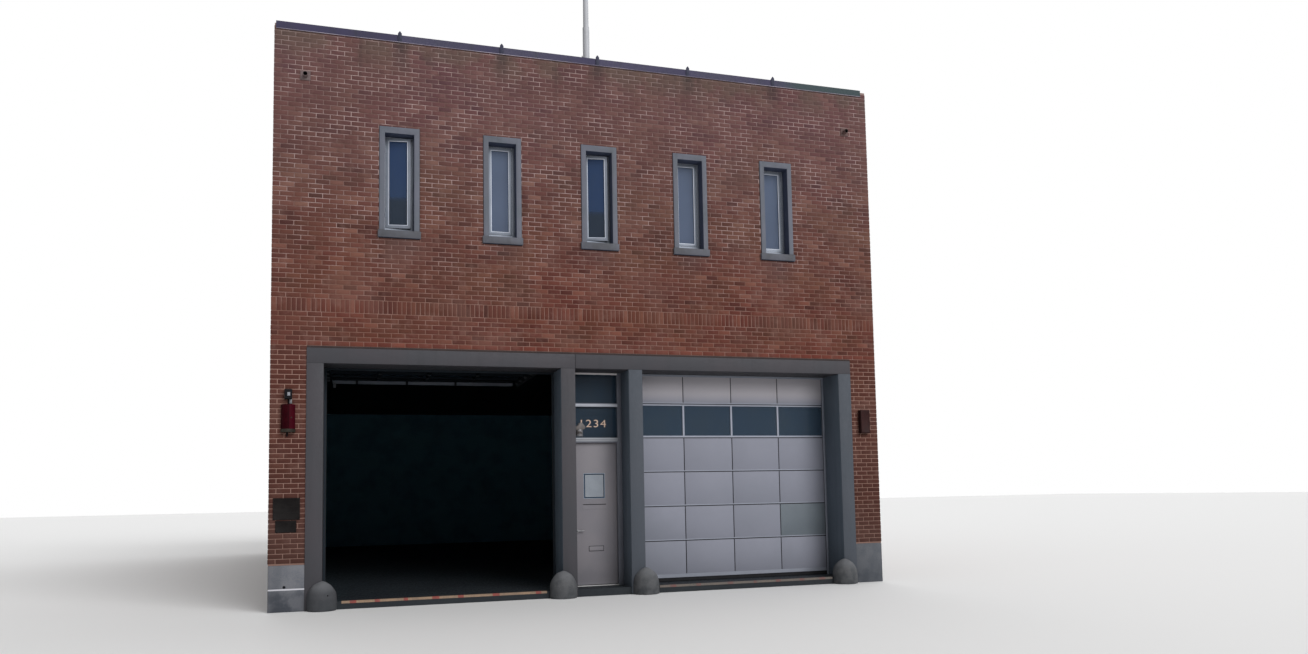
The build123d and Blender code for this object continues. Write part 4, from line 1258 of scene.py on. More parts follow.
def courseFeet(lowest, highest):
    # the foot of each course and whether it is an odd one, counted from the bricks on end
    rise, low, high = (brickLook[key] for key in ("courseHeight", "soldierFoot", "soldierHead"))
    below = int(math.ceil((low - lowest) / rise))
    above = int(math.ceil((highest - high) / rise))
    feet = [(low - step * rise, step % 2) for step in range(1, below + 1)]
    return feet + [(high + step * rise, step % 2) for step in range(above)]


def layCourses(wall):
    # rectangles (left, right, foot, head) of every brick of a wall, in the wall's own plane
    half, lap, count = wall["halfLength"], wall["lap"], wall["soldierCount"]
    rise, joint, module = (brickLook[key] for key in ("courseHeight", "joint", "module"))
    leastEnd = brickLook["leastEnd"]
    bricks = []
    for foot, odd in courseFeet(wall["lowest"], wall["highest"]):
        first = brickLook["firstJoint"] + (0 if odd != wall["swap"] else module / 2)
        first -= math.floor((first + half) / module) * module
        joints = [first + step * module for step in range(int(2 * half / module) + 1)]
        joints = [place for place in joints if leastEnd < place + half < 2 * half - leastEnd]
        ends = [-half - joint / 2 - lap] + joints + [half + joint / 2 + lap]
        low, high = max(foot + joint / 2, wall["lowest"]), min(foot + rise - joint / 2, wall["highest"])
        if high - low < brickLook["leastCut"]:
            continue
        for left, right in zip(ends, ends[1:]):
            bricks += cutRound((left + joint / 2, right - joint / 2, low, high), wall["holes"])
    low, high = brickLook["soldierFoot"] + joint / 2, brickLook["soldierHead"] - joint / 2
    for number in range(count):
        step = 2 * half / count
        left = -half + number * step
        start = left + joint / 2 if number else left - lap
        end = left + step - joint / 2 if number < count - 1 else half + lap
        bricks += cutRound((start, end, low, high), wall["holes"])
    return np.array(bricks)


def driftOver(spots, scale):
    # slow change from brick to brick along a wall, about -0.5 to 0.5
    return np.array([noise.fractal((x * scale, z * scale, 0), *brickLook["fractal"]) for x, z in spots])


def varyBricks(spots, look, limits):
    values = look["middle"] + look["drift"] * driftOver(spots, look["scale"])
    return np.clip(values + chance.normal(0, look["spread"], len(spots)), *limits)


def toneBricks(middle):
    # tone and hue of each brick by its place; the draws keep this order
    look = brickLook
    spots = middle * (1, look["upDrift"])
    tones = varyBricks(spots, look["tone"], look["toneLimits"])
    odd = chance.uniform(0, 1, len(spots))
    dark, pale = odd < look["darkBelow"], odd > look["paleAbove"]
    tones[dark] = chance.uniform(*look["darkTones"], int(dark.sum()))
    tones[pale] = chance.uniform(*look["paleTones"], int(pale.sum()))
    return tones, varyBricks(spots + look["hueShift"], look["hue"], (0, 1))


def castBricks(name, pattern, wall):
    bricks = layCourses(wall)
    count, corners = len(bricks), len(pattern["signs"])
    middle = (bricks[:, [0, 2]] + bricks[:, [1, 3]]) / 2
    half = (bricks[:, [1, 3]] - bricks[:, [0, 2]]) / 2
    flat = middle[:, None, :] + half[:, None, :] * pattern["signs"] + pattern["insets"]
    # each corner of a brick is a little off square, and each face leans a little
    corner = ((pattern["signs"][:, 0] > 0) * 2 + (pattern["signs"][:, 1] > 0)).astype(int)
    uneven = chance.uniform(-1, 1, (count, 4, 2)) * (brickLook["unevenAcross"], brickLook["unevenUp"])
    flat += uneven[:, corner, :]
    lean = chance.uniform(-1, 1, (count, 4)) * brickLook["unevenOut"] * brickLook["lean"]
    setBack = chance.uniform(*brickLook["setBack"], (count, 1)) * brickLook["unevenOut"]
    out = pattern["depths"] + (lean[:, corner] + setBack) * (pattern["depths"] > 0)
    origin, across, outward = (np.array(wall[key], float) for key in ("origin", "across", "outward"))
    points = origin + flat[..., :1] * across + out[..., None] * outward
    points[..., 2] += flat[..., 1]
    offsets = np.arange(count)[:, None]
    loops = (pattern["loops"] + offsets * corners).ravel()
    starts = (pattern["starts"] + offsets * len(pattern["loops"])).ravel()
    mesh = bpy.data.meshes.new(name)
    mesh.vertices.add(count * corners)
    mesh.vertices.foreach_set("co", points.astype(np.float32).ravel())
    mesh.loops.add(len(loops))
    mesh.loops.foreach_set("vertex_index", loops.astype(np.int32))
    mesh.polygons.add(len(starts))
    mesh.polygons.foreach_set("loop_start", starts.astype(np.int32))
    mesh.update(calc_edges=True)
    mesh.validate()
    for label, values in zip(("brickTone", "brickHue"), toneBricks(middle)):
        layer = mesh.attributes.new(label, "FLOAT", "FACE")
        layer.data.foreach_set("value", np.repeat(values, len(pattern["starts"])).astype(np.float32))
    piece = bpy.data.objects.new(name, mesh)
    bpy.context.scene.collection.objects.link(piece)
    mesh.materials.append(finishes["brickFace"])
    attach(piece, "building")
    print(f"{name}: {count} bricks")


# holes as (left, right, foot, head), with a gap round what stands in them
holeLook = {"gap": 0.006, "half": 0.3145, "foot": 5.90, "head": 7.68,
            "sillHalf": 0.3345, "sillFoot": 5.851, "sillHead": 5.969}
frontHoles = [(-4.718, 4.718, -1, 4.074), (-4.84, -4.716, 8.326, 8.45), (4.716, 4.84, 8.326, 8.45)]

shellLook = {
    "halfWidth": 5.24, "halfDepth": -wallFace, "innerHalfWidth": 4.94, "innerHalfDepth": 8.815, "lap": 0.006,
    "plinthDepth": (8.815, 9.2), "plinthHead": 0.706, "trayFoot": 8.526, "sideHead": 9.118, "frontHead": 9.16,
    "frontSoldiers": 145, "sideSoldiers": 253,
}


def windowHoles(look):
    gap, half, sill = look["gap"], look["half"], look["sillHalf"]
    holes = []
    for x in windowCentres:
        holes.append((x - half - gap, x + half + gap, look["foot"], look["head"] + gap))
        holes.append((x - sill - gap, x + sill + gap, look["sillFoot"] - gap, look["sillHead"] + gap))
    return holes


def planWall(outward, distance, halfLength, lowest, highest, soldierCount=0, swap=0, lap=0.0, holes=()):
    # across points to the right for someone who looks at the wall
    return {
        "outward": outward, "across": (-outward[1], outward[0], 0),
        "origin": [distance * part for part in outward],
        "halfLength": halfLength, "lowest": lowest, "highest": highest, "soldierCount": soldierCount,
        "swap": swap, "lap": lap, "holes": holes,
    }


def planWalls(look):
    width, depth, plinth = look["halfWidth"], look["halfDepth"], look["plinthHead"]
    innerWidth, innerDepth, lap = look["innerHalfWidth"], look["innerHalfDepth"], look["lap"]
    whole, side = (0.0, look["frontHead"]), (0.0, look["sideHead"])
    upper, parapet = (plinth, look["frontHead"]), (look["trayFoot"], look["sideHead"])
    left, right, front, rear = (-1, 0, 0), (1, 0, 0), (0, -1, 0), (0, 1, 0)
    near, far = look["plinthDepth"]
    windows, wide, long = windowHoles(holeLook), look["frontSoldiers"], look["sideSoldiers"]
    return {
        "frontBricks": planWall(front, depth, width, *upper, wide, 0, lap, windows + frontHoles),
        "rearBricks": planWall(rear, depth, width, *whole, wide, 0, lap, windows),
        "leftBricks": planWall(left, width, depth, *side, long, 1, holes=[(near, far, -1, plinth)]),
        "rightBricks": planWall(right, width, depth, *side, long, 1, holes=[(-far, -near, -1, plinth)]),
        "frontParapetBricks": planWall(rear, -innerDepth, innerWidth, *parapet),
        "rearParapetBricks": planWall(front, -innerDepth, innerWidth, *parapet),
        "leftParapetBricks": planWall(right, -innerWidth, innerDepth, *parapet),
        "rightParapetBricks": planWall(left, -innerWidth, innerDepth, *parapet),
    }


# only the front and the rear are seen near enough for bevelled bricks
brickPatterns = {True: modelBrick(True), False: modelBrick(False)}
for name, wall in planWalls(shellLook).items():
    castBricks(name, brickPatterns[name in ("frontBricks", "rearBricks")], wall)
print("bricks are laid")


# the CAD solids that stay as they are, with their finishes

nodeFinishes = {
    "brickMortar": ["front_wall", "rear_wall", "left_pier", "right_pier", "left_party_wall",
                    "right_party_wall"],
    # the slabs carry the near black painted shade
    "floorConcreteShade": ["ground_slab", "upper_floor_slab", "roof_slab"],
    "roofFelt": ["roof_membrane"],
    "windowAluminium": ["window_barrels"],
    "rubberAndShadeBlack": ["bay_door_seals"],
    "galvanisedSteel": ["bay_door_hinges", "bay_door_tracks", "bay_door_shafts"],
    "doorSteel": ["entry_frame_hinges", "entry_leaf_hinges", "entry_levers"],
    "bayDoorGlass": ["bay_door_glass"],
    "entryGlass": ["transom_glass"],
    "postLampMetal": ["post_lamp"],
    "polePaint": ["flagpole"],
    "thresholdMetal": ["entry_threshold"],
}
for finish, names in nodeFinishes.items():
    for node in names:
        nodes[node].data.materials.clear()
        nodes[node].data.materials.append(finishes[finish])


# solids that get eased edges: node, piece, finish, slot and width of the edge

easedSolids = [
    ("portal_left_jamb", "portalLeftJamb", "portalPaint", "portal_paint", 0.006),
    ("portal_left_post", "portalLeftPost", "portalPaint", "portal_paint", 0.006),
    ("portal_right_post", "portalRightPost", "portalPaintCool", "portal_paint", 0.006),
    ("portal_right_jamb", "portalRightJamb", "portalPaintCool", "portal_paint", 0.006),
    ("window_surrounds", "windowSurrounds", "surroundPaint", "surround_paint", 0.004),
    ("window_frames", "windowFrames", "windowAluminium", "window_aluminium", 0.0015),
    ("window_sashes", "windowSashes", "windowAluminium", "window_aluminium", 0.0015),
    ("coping_front", "copingFront", "copingFrontMetal", "coping_metal", 0.003),
    ("coping_rear", "copingRear", "copingMetal", "coping_metal", 0.003),
    ("coping_sides", "copingSides", "copingMetal", "coping_metal", 0.003),
    ("entry_frame", "entryFrame", "entryFramePaint", "entry_frame_paint", 0.002),
    ("pier_lamp", "pierLamp", "lampBlack", "lamp_black", 0.0015),
]


def dressNode(node, name, finish, edge=0.0, body="building"):
    return finishPiece(copyOfNode(node, name, edge), finish, [node], body=body)


revealHalf = 0.235


def isReveal(centre, normal):
    # the inner sides of a surround and the underside of its head, which get a dark painted shade
    aside = min(abs(centre.x - middle) for middle in windowCentres)
    return aside < revealHalf and (abs(normal.x) > turnedTo or normal.z < -turnedTo)


for node, name, finish, slotName, edge in easedSolids:
    piece = dressNode(node, name, finish, edge)
    # faces that look left on the posts and the right jamb get the paler copy of the paint, as painted light
    if slotName == "portal_paint" and node != "portal_left_jamb":
        paintFaces(piece, "portalPaintedLightInner", lambda centre, normal: normal.x < -turnedTo)
    if node == "window_surrounds":
        paintFaces(piece, "surroundRevealShade", isReveal)

for name, finish, side in (("leftPlinth", "concrete", -1), ("rightPlinth", "concreteShaded", 1)):
    piece = copyOfNode("plinths", name)
    removeFaces(piece, lambda centre, normal, side=side: centre.x * side < 0)
    finishPiece(piece, finish, ["plinths"], edge=0.008)


# the inner side of each overhead door is painted near black as shade: it looks down when the door is raised

def looksDown(centre, normal):
    return normal.z < 0.5


def looksInside(centre, normal):
    return normal.y > 0.5


for node, name, finish, slotName, inner in (
    ("left_door_sections", "leftDoorSections", "doorAluminium", "door_aluminium", looksDown),
    ("left_door_panels", "leftDoorPanels", "doorPanel", "door_panel", looksDown),
    ("right_door_sections", "rightDoorSections", "doorAluminium", "door_aluminium", looksInside),
):
    paintFaces(dressNode(node, name, finish), "doorBackShade", inner)

dressNode("entry_door_leaf", "entryLeaf", "entryLeafPaint", 0.002, "entry_door")
dressNode("mail_slot", "mailSlot", "entryLeafPaint", 0.0005, "entry_door")
print("solids are dressed")


# the lintel is cast in two lengths, with a fine joint over the left post

lintelLook = {"joint": -0.463, "gap": 0.004, "edge": 0.006}

for name, side in (("portalLintelLeft", 1), ("portalLintelRight", -1)):
    length = copyOfNode("portal_lintel", name)
    cutAway(length, (lintelLook["joint"] - side * lintelLook["gap"] / 2, 0, 0), (side, 0, 0))
    finishPiece(length, "portalPaint", ["portal_lintel"], edge=lintelLook["edge"])


# steel angle that carries the brickwork over the portal

angleLook = {"halfLength": 4.718, "foot": 4.040, "head": 4.073, "leg": 0.016, "sheet": 0.004}


def makeSteelAngle(look):
    foot, head, sheet = look["foot"], look["head"], look["sheet"]
    tip, web = wallFace - look["leg"], wallFace - sheet
    section = [(wallFace, foot), (tip, foot), (tip, foot + sheet), (web, foot + sheet), (web, head),
               (wallFace, head)]
    angle = drawAcross("steelAngle", section, -look["halfLength"], 2 * look["halfLength"])
    finishPiece(angle, "steelAngle", edge=0.001, segments=1)


makeSteelAngle(angleLook)


# rolled drip edge along the foot of the coping's fascia, pale from wear and a painted highlight; at the front
# it ends short of the right corner

dripLook = {
    "copingDripFront": (-5.218, 5.144, -9.163),
    "copingDripRear": (-5.218, 5.218, 9.163),
    "height": 9.116,
    "radius": 0.005,
    "sides": 8,
}


def makeDrip(name, look):
    left, right, y = look[name]
    drip = addRod(name, (left, y, look["height"]), (right, y, look["height"]), look["radius"], look["sides"])
    roundEdges(drip, width=0.001, segments=1, angle=60)
    finishPiece(drip, "dripWearAndHighlight")


makeDrip("copingDripFront", dripLook)
makeDrip("copingDripRear", dripLook)


# straps over the joints of the coping, with a gabled head above it

strapLook = {
    "half": 0.031,
    "tip": 0.006,
    "foot": 9.113,
    "shoulder": 9.262,
    "head": 9.298,
    "front": -9.1665,
    "sheet": 0.0045,
}


def makeStraps(look):
    half, tip = look["half"], look["tip"]
    corners = ((-half, "foot"), (half, "foot"), (half, "shoulder"), (tip, "head"), (-tip, "head"),
               (-half, "shoulder"))
    outline = [(x, look["front"], look[height]) for x, height in corners]
    strap = drawProfile("strapPattern", outline, (0, look["sheet"], 0))
    roundEdges(strap, width=0.001)
    finishPiece(repeatPiece(strap, "copingStraps", bothWalls), "strapMetal")


makeStraps(strapLook)
print("lintel, coping and steel angle are dressed")


# windows: glass, glazing beads with their gaskets, and sealant round each surround

windowLook = {
    "ajar": (0, 2),
    "ajarAngle": 8,
    "pivot": (-0.2115, -8.966, 0),
    # low and high (x, z) corner, width, near and far y, edge and its segments, finish, slot
    "glazingBeads": ((-0.1665, 6.104), (0.1405, 7.514), 0.010, -8.964, -8.956, 0.0025, 2,
                     "beadPaintedHighlight", "window_aluminium"),
    "glazingGaskets": ((-0.159, 6.1115), (0.133, 7.5065), 0.003, -8.947, -8.944, 0.001, 1,
                       "rubberAndShadeBlack", "seal_rubber"),
    "surroundSealant": ((-0.3205, 5.845), (0.3205, 7.686), 0.006, -9.148, wallFace, 0.001, 1,
                        "sealantDark", "seal_rubber"),
}


def sashPlaces(look):
    # as bothWalls, with the sashes that stand ajar swung about their pivots
    pivot = shiftBy(*look["pivot"])
    swing = pivot @ Matrix.Rotation(math.radians(-look["ajarAngle"]), 4, "Z") @ pivot.inverted()
    return [place @ swing if index in look["ajar"] else place for index, place in enumerate(bothWalls)]


def glazeWindows(look):
    ajarX = [windowCentres[index] for index in look["ajar"]]

    def standsAjar(centre, normal):
        return centre.y < 0 and min(abs(centre.x - x) for x in ajarX) < windowPitch / 2

    for name, finish, sort in (("ajarGlass", "openSashReflectionGlass", keepFaces),
                               ("closedGlass", "closedSashReflectionGlass", removeFaces)):
        glass = copyOfNode("window_glass", name)
        sort(glass, standsAjar)
        finishPiece(glass, finish, ["window_glass"], edge=0.0005, segments=1)
    sashes = sashPlaces(look)
    for name, places in (("glazingBeads", sashes), ("glazingGaskets", sashes),
                         ("surroundSealant", bothWalls)):
        low, high, width, near, far, edge, segments, finish, slotName = look[name]
        ring = addRing(f"{name}Pattern", low, high, width, near, far)
        roundEdges(ring, edge, segments)
        finishPiece(repeatPiece(ring, name, places), finish)


glazeWindows(windowLook)
print("windows are glazed")


# overhead doors: panels, dark strips of painted shade in the grooves and joints, a strut and the weather
# strips

bayLook = {
    "centre": 2.589,
    "halfWidth": 1.878,
    "column": 0.928,
    "sectionBase": 0.231,
    "sectionHeight": 0.60983,
    "rows": 6,
    "glazedRow": 4,
    "panelFoot": 0.020,
    "panelGap": 0.008,
    "panelFront": -8.543,
    "grooveBack": -8.533,
    "grooveHalf": 0.008,
    "lightEdge": 0.003,
    "stripSheet": 0.0015,
    "jointShadeDrop": 0.013,
    "jointShadeLap": 0.003,
    "mendedColumn": 3,
    "mendedRow": 1,
}

weatherLook = {
    "jambs": (-4.467, -0.711, 0.711, 4.467),
    "width": 0.035,
    "front": -8.565,
    "back": -8.549,
    "chamfer": (0.006, 0.005),
    "flapHalf": 0.004,
    "flapTip": (0.006, 0.001),
    "floor": 0.120,
    "lintel": 3.800,
}

strutLook = {
    "start": -4.399,
    "length": 3.62,
    "y": -4.585,
    "head": 4.060,
    "depth": 0.062,
    "lip": 0.004,
    "half": 0.040,
    "foot": 0.62,
    "clamps": (-3.93, -2.95, -1.97),
    "clampHalf": 0.022,
    "clampGrip": 0.006,
    "clampDrop": 0.005,
    "clampTaper": 0.7,
    "tab": ((-4.385, -4.615, 3.915), (-4.335, -4.607, 4.060)),
}


def makeDoorPanels(look):
    left = look["centre"] + (look["mendedColumn"] - 2) * look["column"]
    foot = look["sectionBase"] + look["mendedRow"] * look["sectionHeight"]

    def isMended(centre, normal):
        return left < centre.x < left + look["column"] and foot < centre.z < foot + look["sectionHeight"]

    for name, finish, sort in (("rightDoorPanels", "doorPanel", removeFaces),
                               ("mendedDoorPanel", "doorPanelMended", keepFaces)):
        panels = copyOfNode("right_door_panels", name)
        sort(panels, isMended)
        finishPiece(panels, finish, ["right_door_panels"], edge=0.002)


# black strips in the grooves and across the joints between sections: painted shade
def makeGrooveShade(look):
    centre, column, rise, back = (look[key] for key in ("centre", "column", "sectionHeight", "grooveBack"))
    foot, top, sheet = look["sectionBase"] + look["panelFoot"], look["sectionBase"] + rise, look["stripSheet"]
    upright = addBlock("grooveShadePattern", (look["lightEdge"] - look["grooveHalf"], back - sheet, foot),
                       (look["grooveHalf"], back, top - look["panelGap"]))
    near, far = look["panelFront"] - sheet, top - look["jointShadeDrop"]
    level = addBlock("jointShadePattern", (centre - column * 2, near, far),
                     (centre + column * 2, back, top + look["jointShadeLap"]))
    grooves = [shiftBy(centre + step * column, 0, row * rise)
               for row in range(look["rows"]) if row != look["glazedRow"] for step in (-1, 0, 1)]
    joints = [shiftBy(z=row * rise) for row in range(look["rows"] - 1)]
    strips = []
    for pattern, name, places in ((upright, "uprightShadeStrips", grooves), (level, "levelShadeStrips", joints)):
        roundEdges(pattern, width=0.0005, segments=1)
        strips.append(repeatPiece(pattern, name, places))
    finishPiece(joinPieces("grooveShadeStrips", strips), "rubberAndShadeBlack")


def makeStrut(look):
    # closed trapezium tube under the last section of the raised door
    y, half, head, depth, lip = (look[key] for key in ("y", "half", "head", "depth", "lip"))
    foot = half * look["foot"]
    section = [(y - half, head), (y - half, head - lip), (y - foot, head - depth), (y + foot, head - depth),
               (y + half, head - lip), (y + half, head)]
    strut = drawAcross("strutTube", section, look["start"], look["length"])
    finishPiece(strut, "weatherStripGrey", edge=0.002)
    reach = half + look["clampGrip"]
    clamp = addBlock("clampPattern", (-look["clampHalf"], y - reach, head - depth - look["clampDrop"]),
                     (look["clampHalf"], y + reach, head))
    selectFaces(clamp, lambda centre, normal: normal.z < -squareOn)
    bpy.ops.transform.resize(value=(1, look["clampTaper"], 1))
    leaveEdit()
    roundEdges(clamp, width=0.003)
    places = [shiftBy(x) for x in look["clamps"]]
    finishPiece(repeatPiece(clamp, "strutClamps", places), "rubberAndShadeBlack")
    finishPiece(addBlock("strutTab", *look["tab"]), "conduitGrey", edge=0.003)


def makeWeatherStrips(look):
    front, back, width, floor, lintel = (look[key] for key in ("front", "back", "width", "floor", "lintel"))
    across, up = look["chamfer"]
    panel, half = bayLook["panelFront"], bayLook["halfWidth"]
    thick, (outer, nearer) = look["flapHalf"], look["flapTip"]
    rails, flaps = {"left": [], "right": []}, []
    for number, jamb in enumerate(look["jambs"]):
        inwards = 1 if number % 2 == 0 else -1
        inner = jamb + inwards * width
        section = [(jamb, back), (jamb, front), (inner - inwards * across, front), (inner, front + up),
                   (inner, back)]
        side = "left" if number < 2 else "right"
        rails[side].append(drawUp(f"stripRail{number}", section, floor, lintel - floor))
        section = [(inner - inwards * thick, back), (inner + inwards * thick, back),
                   (inner + inwards * outer, panel), (inner + inwards * nearer, panel)]
        flaps.append(drawUp(f"stripFlap{number}", section, floor, lintel - floor))
    foot = lintel - width
    section = [(back, lintel), (front, lintel), (front, foot + across), (front + up, foot), (back, foot)]
    # the left rails, under the raised door, get the door back's painted shade instead of the grey
    for side, middle, finish in (("left", -bayLook["centre"], "doorBackShade"),
                                 ("right", bayLook["centre"], "weatherStripGrey")):
        head = drawAcross(f"{side}HeadRail", section, middle - half + width, 2 * (half - width))
        rail = joinPieces(f"{side}WeatherStrip", rails[side] + [head])
        finishPiece(rail, finish, edge=0.001, segments=1)
    finishPiece(joinPieces("weatherStripFlaps", flaps), "rubberAndShadeBlack")


makeDoorPanels(bayLook)
makeGrooveShade(bayLook)
makeStrut(strutLook)
makeWeatherStrips(weatherLook)


# worn painted nosing with red dashes along the front edge of each bay's slab

nosingLook = {
    "front": wallFace,
    "head": 0.120,
    "drop": 0.034,
    "sheet": 0.003,
    "tread": 0.050,
    "left": (-4.18, -0.98),
    "leftDashes": (-4.01, -3.65, -3.22, -2.76, -2.37, -1.81, -1.12),
    "right": (0.96, 4.22),
    "rightDashes": (1.20, 1.66, 2.25, 2.72, 3.16, 3.62, 4.02),
    "dashHalf": 0.042,
    "dashSheet": 0.0012,
    "dashStretch": (0.7, 1.4),
}


def makeNosing(look):
    front, head, foot = look["front"], look["head"], look["head"] - look["drop"]
    back, half = front + look["tread"], look["dashHalf"]

    def section(sheet):
        return [(front, foot), (front - sheet, foot), (front - sheet, head + sheet), (back, head + sheet),
                (back, head), (front, head)]

    for side, sand, red in (("left", "nosingSand", "nosingRed"),
                            ("right", "nosingSandWorn", "nosingRedWorn")):
        start, end = look[side]
        strip = drawAcross(f"{side}Nosing", section(look["sheet"]), start, end - start)
        finishPiece(strip, sand, edge=0.001, segments=1)
        dash = drawAcross("dashPattern", section(look["sheet"] + look["dashSheet"]), -half, 2 * half)
        roundEdges(dash, width=0.0008, segments=1)
        places = [shiftBy(x) @ Matrix.Diagonal((chance.uniform(*look["dashStretch"]), 1, 1, 1))
                  for x in look[f"{side}Dashes"]]
        finishPiece(repeatPiece(dash, f"{side}NosingDashes", places), red)


makeNosing(nosingLook)
print("overhead doors are dressed")


# entry: covers on the transom bars, generic numerals, blank plates and the mail slot's rim

entryLook = {
    "frameFront": -8.659,
    "half": 0.395,
    # foot, head, how far it stands out, the share of its height that lies back, finish
    "highBarCover": (3.200, 3.247, 0.010, 0.15, "transomPaint"),
    "lowBarCover": (2.598, 2.662, 0.016, 0.42, "lowBarPaint"),
    "headBarCover": (3.762, 3.792, 0.012, 0.30, "headBarPaintedLight"),
    # shares of how far a cover stands out, and the heights of its small steps
    "coverShares": (0.35, 0.7),
    "coverSteps": (0.002, 0.005, 0.004),
    "numerals": "1234",
    "numeralCut": {"extrude": 0.012, "bevel": 0.003, "offset": -0.006, "spacing": 1.15},
    "numeralLow": (-0.251, -8.612, 2.848),
    "numeralHigh": (0.201, -8.608, 2.977),
    "leafFront": -8.594,
    "sheet": 0.003,
    "plate": (-0.214, 0.168, 1.61, 2.05),
    "plateMargin": 0.016,
    "plateRise": 0.0008,
    "borderInset": 0.010,
    "borderWidth": 0.018,
    "borderSunk": 0.0005,
    "strip": (-0.234, 0.196, 1.425, 1.525),
    "stripMargin": 0.008,
    "stripDepth": 0.0012,
    "shadeInset": 0.012,
    "shadeDrops": (0.022, 0.010),
    "shadeHalf": 0.001,
    "slotRim": (-0.133, 0.133, 0.707, 0.798),
    "rimWidth": 0.010,
    "rimSheet": 0.004,
}


def makeBar(name, look):
    # moulded cover: a nose above, and a part below it that lies further back
    low, high, out, lowShare, finish = look[name]
    face, middle = look["frameFront"], low + (high - low) * lowShare
    lowOut, highOut = look["coverShares"]
    lip, rise, drop = look["coverSteps"]
    back, nose = face - out * lowOut, face - out
    section = [(face, low), (back, low + lip), (back, middle), (nose, middle + rise), (nose, high - drop),
               (face - out * highOut, high), (face, high)]
    bar = drawAcross(name, section, -look["half"], 2 * look["half"])
    finishPiece(bar, finish, edge=0.001, segments=1)


def makeNumerals(look):
    bpy.ops.object.select_all(action="DESELECT")
    bpy.ops.object.text_add(location=(0, 0, 0), rotation=(math.pi / 2, 0, 0))
    text = bpy.context.active_object
    text.data.body = look["numerals"]
    cut = look["numeralCut"]
    text.data.extrude = cut["extrude"]
    text.data.bevel_depth = cut["bevel"]
    text.data.offset = cut["offset"]
    text.data.space_character = cut["spacing"]
    bpy.ops.object.convert(target="MESH")
    numerals = settlePlace(bpy.context.active_object, "entryNumerals")
    corners = np.array([vertex.co for vertex in numerals.data.vertices])
    low, high = corners.min(axis=0), corners.max(axis=0)
    start, end = np.array(look["numeralLow"]), np.array(look["numeralHigh"])
    corners = start + (corners - low) * (end - start) / (high - low)
    numerals.data.vertices.foreach_set("co", corners.astype(np.float32).ravel())
    numerals.data.update()
    finishPiece(numerals, "numeralGold")


def makeBlankPlates(look):
    front, sheet, inset, rise = look["leafFront"], look["sheet"], look["borderInset"], look["plateRise"]

    def finishOnLeaf(piece, finish, edge):
        finishPiece(piece, finish, edge=edge, segments=1, body="entry_door")

    left, right, foot, head = look["plate"]
    plate = addBlock("blankPlate", (left, front - sheet, foot), (right, front, head))
    finishOnLeaf(stepFront(plate, look["plateMargin"], -rise), "signWhite", 0.0006)
    border = addRing("blankPlateBorder", (left + inset, foot + inset), (right - inset, head - inset),
                     look["borderWidth"], front - sheet - rise, front - sheet + look["borderSunk"])
    finishOnLeaf(border, "signBlue", 0.0003)
    left, right, foot, head = look["strip"]
    strip = addBlock("blankStrip", (left, front - sheet, foot), (right, front, head))
    finishOnLeaf(stepFront(strip, look["stripMargin"], look["stripDepth"]), "entryLeafPaint", 0.0006)
    low, high = look["shadeDrops"]
    inset, half = look["shadeInset"], look["shadeHalf"]
    line = addBlock("blankStripShade", (left + inset, front - sheet - half, head - low),
                    (right - inset, front - sheet + half, head - high))
    finishOnLeaf(line, "rubberAndShadeBlack", 0.0005)


def makeSlotRim(look):
    left, right, foot, head = look["slotRim"]
    back = look["leafFront"]
    front = back - look["rimSheet"]
    rim = addRing("mailSlotRim", (left, foot), (right, head), look["rimWidth"], front, back)
    finishPiece(rim, "lampBlack", edge=0.0012, body="entry_door")


for name in ("highBarCover", "lowBarCover", "headBarCover"):
    makeBar(name, entryLook)
makeNumerals(entryLook)
makeBlankPlates(entryLook)
makeSlotRim(entryLook)
print("entry is dressed")


# fixtures on the left pier: lamp with its lens, conduit, alarm housing and two blank plaques

lampLook = {
    "front": -9.230,
    "lens": (-4.987, -4.947, 3.276, 3.331),
    "lensOut": 0.007,
    "lensIn": 0.002,
    "lensMargin": 0.006,
    "lensRise": 0.003,
    "rimWidth": 0.006,
    "rimSheet": 0.004,
    "conduit": (-4.957, -4.923, 3.158, 3.228),
    "conduitOut": 0.040,
    "conduitMargin": 0.005,
    "conduitRise": 0.002,
}

alarmLook = {
    "seam": -4.958,
    "seamHalf": 0.0015,
    "baseHead": 2.768,
    "knob": (-4.925, -9.258, 2.94),
    "knobRadius": 0.011,
    "knobLength": 0.02,
    "knobMargin": 0.003,
    "knobRise": 0.004,
    "stub": (-4.990, 2.655, 2.718),
    "stubRadius": 0.010,
    "stubOut": 0.012,
    "collarRadius": 0.015,
    "collarHeight": 0.022,
}

plaqueLook = {
    # left, right, foot and head, the feet of the raised bands, their height, and the rim
    "largePlaque": ((-5.179, -4.793, 1.385, 1.716), (1.491, 1.582), 0.008, 0.010),
    "smallPlaque": ((-5.141, -4.843, 1.193, 1.373), (1.292, 1.355), 0.005, 0.008),
    "out": 0.016,
    "fieldDepth": 0.0025,
    "bandSheet": 0.004,
    "screwInset": 0.016,
    "screwRadius": 0.007,
    "screwHalf": 0.003,
}

boltLook = {
    "place": (-5.007, -9.162, 0.372), "washer": 0.022, "washerSheet": 0.012, "nut": 0.013, "nutSheet": 0.010,
}


def makeLamp(look):
    left, right, foot, head = look["lens"]
    front, rim = look["front"], look["rimWidth"]
    lens = addBlock("lampLens", (left, front - look["lensOut"], foot), (right, front + look["lensIn"], head))
    stepFront(lens, look["lensMargin"], -look["lensRise"])
    finishPiece(lens, "lensWhite", edge=0.0035, segments=3)
    ring = addRing("lampLensRim", (left - rim, foot - rim), (right + rim, head + rim), rim,
                   front - look["rimSheet"], front)
    finishPiece(ring, "lampBlack", edge=0.0015)
    left, right, foot, head = look["conduit"]
    body = addBlock("conduitBody", (left, wallFace - look["conduitOut"], foot), (right, wallFace, head))
    stepFront(body, look["conduitMargin"], -look["conduitRise"])
    finishPiece(body, "conduitGrey", edge=0.003)


